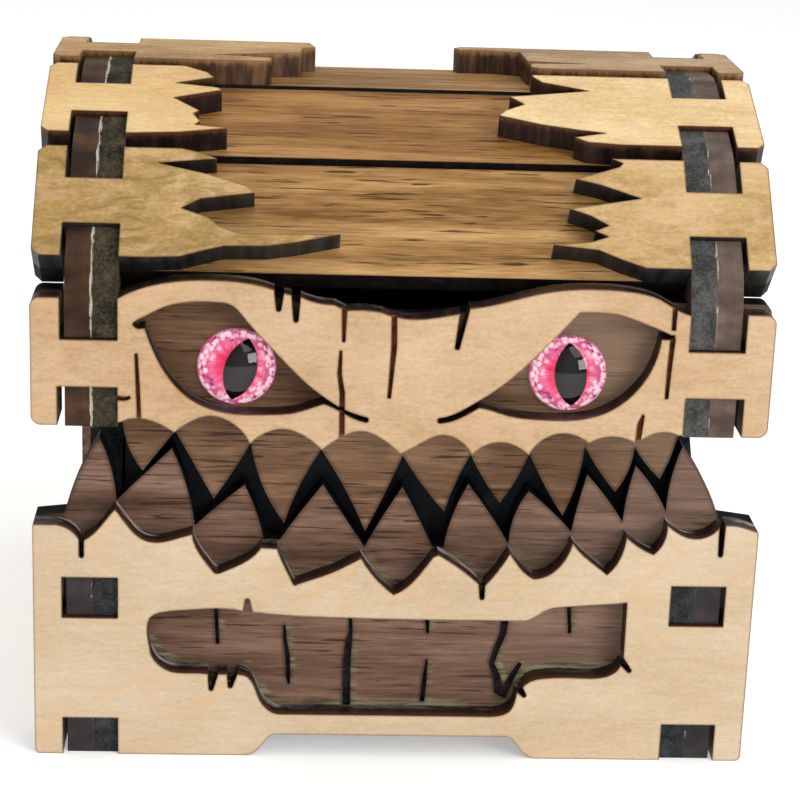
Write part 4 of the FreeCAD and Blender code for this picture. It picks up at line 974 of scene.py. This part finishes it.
@dataclass
class Lid(SheetAssembly):
    """Walls, arched planks and broken overlays of the lid."""

    body: str = "lid"
    walls: tuple = ((Wall.FRONT, BIRCH_FACE, WALNUT_BROW), (Wall.BACK, BIRCH_FACE, WALNUT_BROW),
                    (Wall.LEFT, BIRCH_LEFT, WALNUT_LEFT), (Wall.RIGHT, BIRCH_RIGHT_PAINTED_LIT, WALNUT_RIGHT_PAINTED_LIT))
    # Each plank's name, tilt and finish, and the finish of its left and right overlay.
    arch: tuple = (("front_low", 45.0, WALNUT_PLANK, BIRCH_OILED, BIRCH_WARM),
                   ("front_high", 67.5, WALNUT_DEEP, BIRCH_GOLD, BIRCH_CREAM),
                   ("top", 90.0, WALNUT_DULL, BIRCH_CROWN, BIRCH_GREY),
                   ("back_high", 112.5, WALNUT_DEEP, BIRCH_GOLD, BIRCH_GOLD),
                   ("back_low", 135.0, WALNUT_PLANK, BIRCH_WARM, BIRCH_OILED))

    def build(self) -> None:
        """Dresses the walls, and then each plank with its two overlays."""
        super().build()
        for name, tilt, plank, left, right in self.arch:
            self.lay(f"plank_{name}", plank, plank_lie(tilt), name)
            self.lay(f"overlay_{name}_left", left, plank_lie(tilt), name)
            self.lay(f"overlay_{name}_right", right, plank_lie(tilt), name)


@dataclass
class DiceTray:
    """Loose card lining of the base."""

    sides: tuple[str, ...] = ("floor", "front", "back", "left", "right")

    def build(self) -> None:
        """Dresses the five cards."""
        card = BlackCard().make()
        for side in self.sides:
            dress(f"tray_{side}", card)


@dataclass
class GlassEye:
    """One domed glass eye with its printed disc behind it."""

    word: str  # its side, as in the names of its nodes
    lean: float  # degrees that the slit leans to the right at its top
    slit_shift_mm: float
    steps: int = 96  # round the eye
    arc_steps: int = 24  # from the dome's rim to its top
    lift_mm: float = 0.01  # glass foot above the walnut
    cover_mm: float = 0.03  # glass under the print
    border_mm: float = 0.12  # glass around the print
    girdle_mm: float = 0.15  # upright rim before the dome starts
    disc_bevel_mm: float = 0.05
    weld: float = 1e-6

    def build(self, glass: bpy.types.Material) -> None:
        """Makes dome and disc where the frame has them.

        Args:
            glass: material of the dome.
        """
        low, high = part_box(f"eye_glass_{self.word}")
        centre = (low + high) / 2
        radius = (high.x - low.x) / 2
        disc_low, disc_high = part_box(f"iris_{self.word}")
        walnut_y = disc_high.y
        face_y = walnut_y - self.lift_mm * MM

        dome = self.spun(centre, face_y, self.dome_profile(radius, face_y - low.y))
        piece = add_piece(f"eye_dome_{self.word}", dome, glass, "lid")
        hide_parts(f"eye_glass_{self.word}")

        disc_radius = radius - self.border_mm * MM
        thickness = walnut_y - disc_low.y - self.cover_mm * MM
        bevel = self.disc_bevel_mm * MM
        outline = [(0, 0), (disc_radius, 0), (disc_radius, thickness - bevel),
                   (disc_radius - bevel, thickness), (0, thickness)]
        disc = self.spun(centre, face_y - self.cover_mm * MM, outline)
        iris = PrintedIris(f"iris_print_{self.word}", (centre.x, centre.z), self.lean, self.slit_shift_mm)
        piece = add_piece(f"iris_disc_{self.word}", disc, iris.make(), "lid", smooth=False)
        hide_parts(f"iris_{self.word}")

    def dome_profile(self, radius: float, rise: float) -> list[tuple[float, float]]:
        """Half section of the dome.

        Args:
            radius: of its foot.
            rise: its height.

        Returns:
            Distances from the axis and from the foot plane, from the middle of the foot to the top.
        """
        girdle = self.girdle_mm * MM
        crown = rise - girdle
        ball = (radius ** 2 + crown ** 2) / (2 * crown)
        half = math.asin(radius / ball)
        turns = [half * (1 - i / self.arc_steps) for i in range(self.arc_steps + 1)]
        arc = [(ball * math.sin(turn), girdle + crown - ball * (1 - math.cos(turn))) for turn in turns]
        return [(0, 0), (radius - girdle / 2, 0), (radius, girdle / 2), *arc]

    def spun(self, centre: Vector, foot_y: float, profile: list[tuple[float, float]]) -> bmesh.types.BMesh:
        """Spins a half section round the eye's axis, which points to the front.

        Args:
            centre: a point on the axis.
            foot_y: where the foot plane lies.
            profile: distances from the axis and from the foot plane.

        Returns:
            The closed shape.
        """
        points = [(centre.x + r, foot_y - h, centre.z) for r, h in profile]
        return spin_section(points, (centre.x, foot_y, centre.z), (0, -1, 0), self.steps, self.weld)


@dataclass
class WoodScrew:
    """Small cross-recess screw that holds a hinge leaf."""

    head_radius_mm: float = 1.28
    head_height_mm: float = 0.66
    rim_share: float = 0.3  # upright part of the head's height
    shank_radius_mm: float = 0.66
    shank_mm: float = 3.5
    point_mm: float = 1.0
    seat_mm: float = 0.7  # from the top of the frame's screw down to the leaf
    recess_mm: Triple = (1.5, 0.34, 0.42)  # length, width, depth of each arm
    twist: float = 37.0  # degrees from one screw's cross to the next one's
    steps: int = 40
    weld_mm: float = 1e-4

    def profile(self) -> list[Triple]:
        """Half section in the plane of x and z, with the seat at height 0.

        Returns:
            Its corners in millimetres, from the point to the top of the head.
        """
        r, h = self.head_radius_mm, self.head_height_mm
        dome = [(r * math.cos(a), 0, self.rim_share * h + (1 - self.rim_share) * h * math.sin(a))
                for a in (math.radians(d) for d in range(0, 91, 15))]
        return [(0, 0, -self.shank_mm), (self.shank_radius_mm, 0, -self.shank_mm + self.point_mm),
                (self.shank_radius_mm, 0, 0), (r, 0, 0), *dome]

    def build(self, index: int, body: str, material: bpy.types.Material) -> None:
        """Makes one screw in the place of the frame's.

        Args:
            index: number of the frame's screw.
            body: the body it moves with.
            material: its finish.
        """
        low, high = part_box(f"hinge_screw_{index}")
        seat = Vector(((low.x + high.x) / 2, high.y - self.seat_mm * MM, (low.z + high.z) / 2))
        out = Matrix(((1, 0, 0), (0, 0, 1), (0, -1, 0))).to_4x4()
        twist = Matrix.Rotation(math.radians(self.twist * index), 4, "Z")
        place = Matrix.Translation(seat) @ out @ Matrix.Scale(MM, 4) @ twist
        mesh = spin_section(self.profile(), (0, 0, 0), (0, 0, 1), self.steps, self.weld_mm)
        bmesh.ops.transform(mesh, matrix=place, verts=mesh.verts)
        piece = add_piece(f"wood_screw_{index}", mesh, material, body)
        self.cut_recess(piece, place)
        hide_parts(f"hinge_screw_{index}")

    def cut_recess(self, piece: bpy.types.Object, place: Matrix) -> None:
        """Sinks the cross into the head.

        Args:
            piece: the screw.
            place: from the screw's own millimetres to the row frame.
        """
        length, width, deep = self.recess_mm
        arms = bmesh.new()
        for quarter in (0, 90):
            turn = Matrix.Rotation(math.radians(quarter), 4, "Z")
            arm = turn @ Matrix.Translation((0, 0, self.head_height_mm))
            arm = arm @ Matrix.Diagonal((length, width, 2 * deep, 1))
            bmesh.ops.create_cube(arms, size=1, matrix=place @ arm)
        cutter = set_down("recess_cutter", arms)
        cut = piece.modifiers.new("recess", "BOOLEAN")
        cut.operation, cut.object, cut.solver, cut.use_self = "DIFFERENCE", cutter, "EXACT", True
        evaluated = piece.evaluated_get(bpy.context.evaluated_depsgraph_get())
        shaped = bpy.data.meshes.new_from_object(evaluated)
        piece.modifiers.clear()
        piece.data = shaped
        bpy.data.objects.remove(cutter)


@dataclass
class Hardware:
    """Hinges with their screws, and the two glass eyes."""

    lid_screws: tuple[int, ...] = (3, 4, 7, 8)
    screw_count: int = 8
    # Side of each eye, degrees that its slit leans, and millimetres that the slit is moved.
    eyes: tuple[tuple[str, float, float], ...] = (("left", 15.0, 0.45), ("right", -4.0, 0.25))

    def build(self) -> None:
        """Dresses the leaves and pins, and makes the screws and the eyes."""
        brass = HingeMetal("hinge_brass", "#C9A45C", "#6E4E28").make()
        steel = HingeMetal("screw_steel", "#B9B4A8", "#6B665C", 0.28).make()
        for side in ("left", "right"):
            dress(f"hinge_{side}_base_leaf", brass)
            dress(f"hinge_{side}_lid_leaf", brass)
            dress(f"hinge_{side}_pin", steel)
        for index in range(1, self.screw_count + 1):
            WoodScrew().build(index, "lid" if index in self.lid_screws else "base", brass)
        glass = ClearGlass().make()
        for side, lean, slit_shift_mm in self.eyes:
            GlassEye(side, lean, slit_shift_mm).build(glass)


# ---- studio
@dataclass
class Studio:
    """Pale floor, soft light and the camera."""

    floor_half: float = 3.0
    floor_tones: tuple[str, str] = ("#F6F6F4", "#FAFAF9")
    floor_cloud_mm: float = 400.0
    floor_glow: float = 0.4
    sky: str = "#FFFFFF"
    sky_strength: float = 0.42
    camera_at: Triple = (-0.0156, -0.3145, 0.1345)
    yaw: float = 3.19  # degrees that the camera looks to the right
    pitch: float = 17.58  # degrees that it looks down
    roll: float = 2.07
    lens_mm: float = 106.3
    sensor_mm: float = 36.0
    nearest: float = 0.01  # what is nearer isn't drawn
    # Name, place, target, size and power of each soft box.
    lights: tuple = (
        ("key", (0.35, -0.45, 0.75), (0.0, 0.0, 0.04), 0.5, 1.4),
        ("window", (0.56, -0.67, 0.33), (0.0, -0.04, 0.05), 0.36, 3.0),
        ("fill", (-0.65, -0.55, 0.35), (0.0, 0.0, 0.04), 0.6, 0.3),
        ("top", (0.0, 0.15, 0.9), (0.0, 0.0, 0.05), 0.7, 2.5),
    )

    def build(self) -> None:
        """Makes floor, world, lights and camera."""
        scene = bpy.context.scene
        scene.view_settings.view_transform = "Standard"
        self.floor()
        self.world(scene)
        for name, place, target, size, power in self.lights:
            lamp = bpy.data.lights.new(name, "AREA")
            lamp.energy, lamp.size = power, size
            holder = bpy.data.objects.new(name, lamp)
            aim = (Vector(target) - Vector(place)).to_track_quat("-Z", "Y")
            holder.matrix_world = Matrix.Translation(place) @ aim.to_matrix().to_4x4()
            scene.collection.objects.link(holder)
        self.camera(scene)

    def floor(self) -> None:
        """A wide pale floor with a faint mottle, as white as a sweep that is lit from behind."""
        coat = Coat("floor_paper")
        cloud = coat.figure((self.floor_cloud_mm,) * 3)
        colour = coat.add("ValToRGB", {0: cloud}, stops=zip((0.3, 0.7), self.floor_tones))
        paper = coat.finish({"Base Color": colour, "Roughness": 0.9, "Emission Color": colour,
                             "Emission Strength": self.floor_glow})
        mesh = bmesh.new()
        bmesh.ops.create_grid(mesh, x_segments=1, y_segments=1, size=self.floor_half)
        plane = set_down("floor", mesh)
        plane.data.materials.append(paper)

    def world(self, scene: bpy.types.Scene) -> None:
        """Even white surroundings.

        Args:
            scene: the scene to light.
        """
        world = bpy.data.worlds.new("studio")
        world.use_nodes = True
        scene.world = world
        sky = world.node_tree.nodes["Background"]
        sky.inputs["Color"].default_value = linear(self.sky)
        sky.inputs["Strength"].default_value = self.sky_strength

    def camera(self, scene: bpy.types.Scene) -> None:
        """The camera, a little left of the middle and looking slightly down.

        Args:
            scene: the scene that it belongs to.
        """
        yaw, pitch, roll = (math.radians(a) for a in (self.yaw, self.pitch, self.roll))
        ahead = Vector((math.sin(yaw) * math.cos(pitch), math.cos(yaw) * math.cos(pitch), -math.sin(pitch)))
        right = Vector((math.cos(yaw), -math.sin(yaw), 0))
        up = right.cross(ahead)
        x_axis = math.cos(roll) * right + math.sin(roll) * up
        y_axis = -math.sin(roll) * right + math.cos(roll) * up
        data = bpy.data.cameras.new("camera")
        data.lens = self.lens_mm
        data.sensor_width = self.sensor_mm
        data.clip_start = self.nearest
        holder = bpy.data.objects.new("camera", data)
        turn = Matrix((x_axis, y_axis, -ahead)).transposed().to_4x4()
        holder.matrix_world = Matrix.Translation(self.camera_at) @ turn
        scene.collection.objects.link(holder)
        scene.camera = holder


def main() -> None:
    """Builds the classes in order."""
    logging.basicConfig(level=logging.INFO, format="%(name)s: %(message)s")
    Base().build()
    Lid().build()
    DiceTray().build()
    Hardware().build()
    Studio().build()


if __name__ == "__main__":
    main()
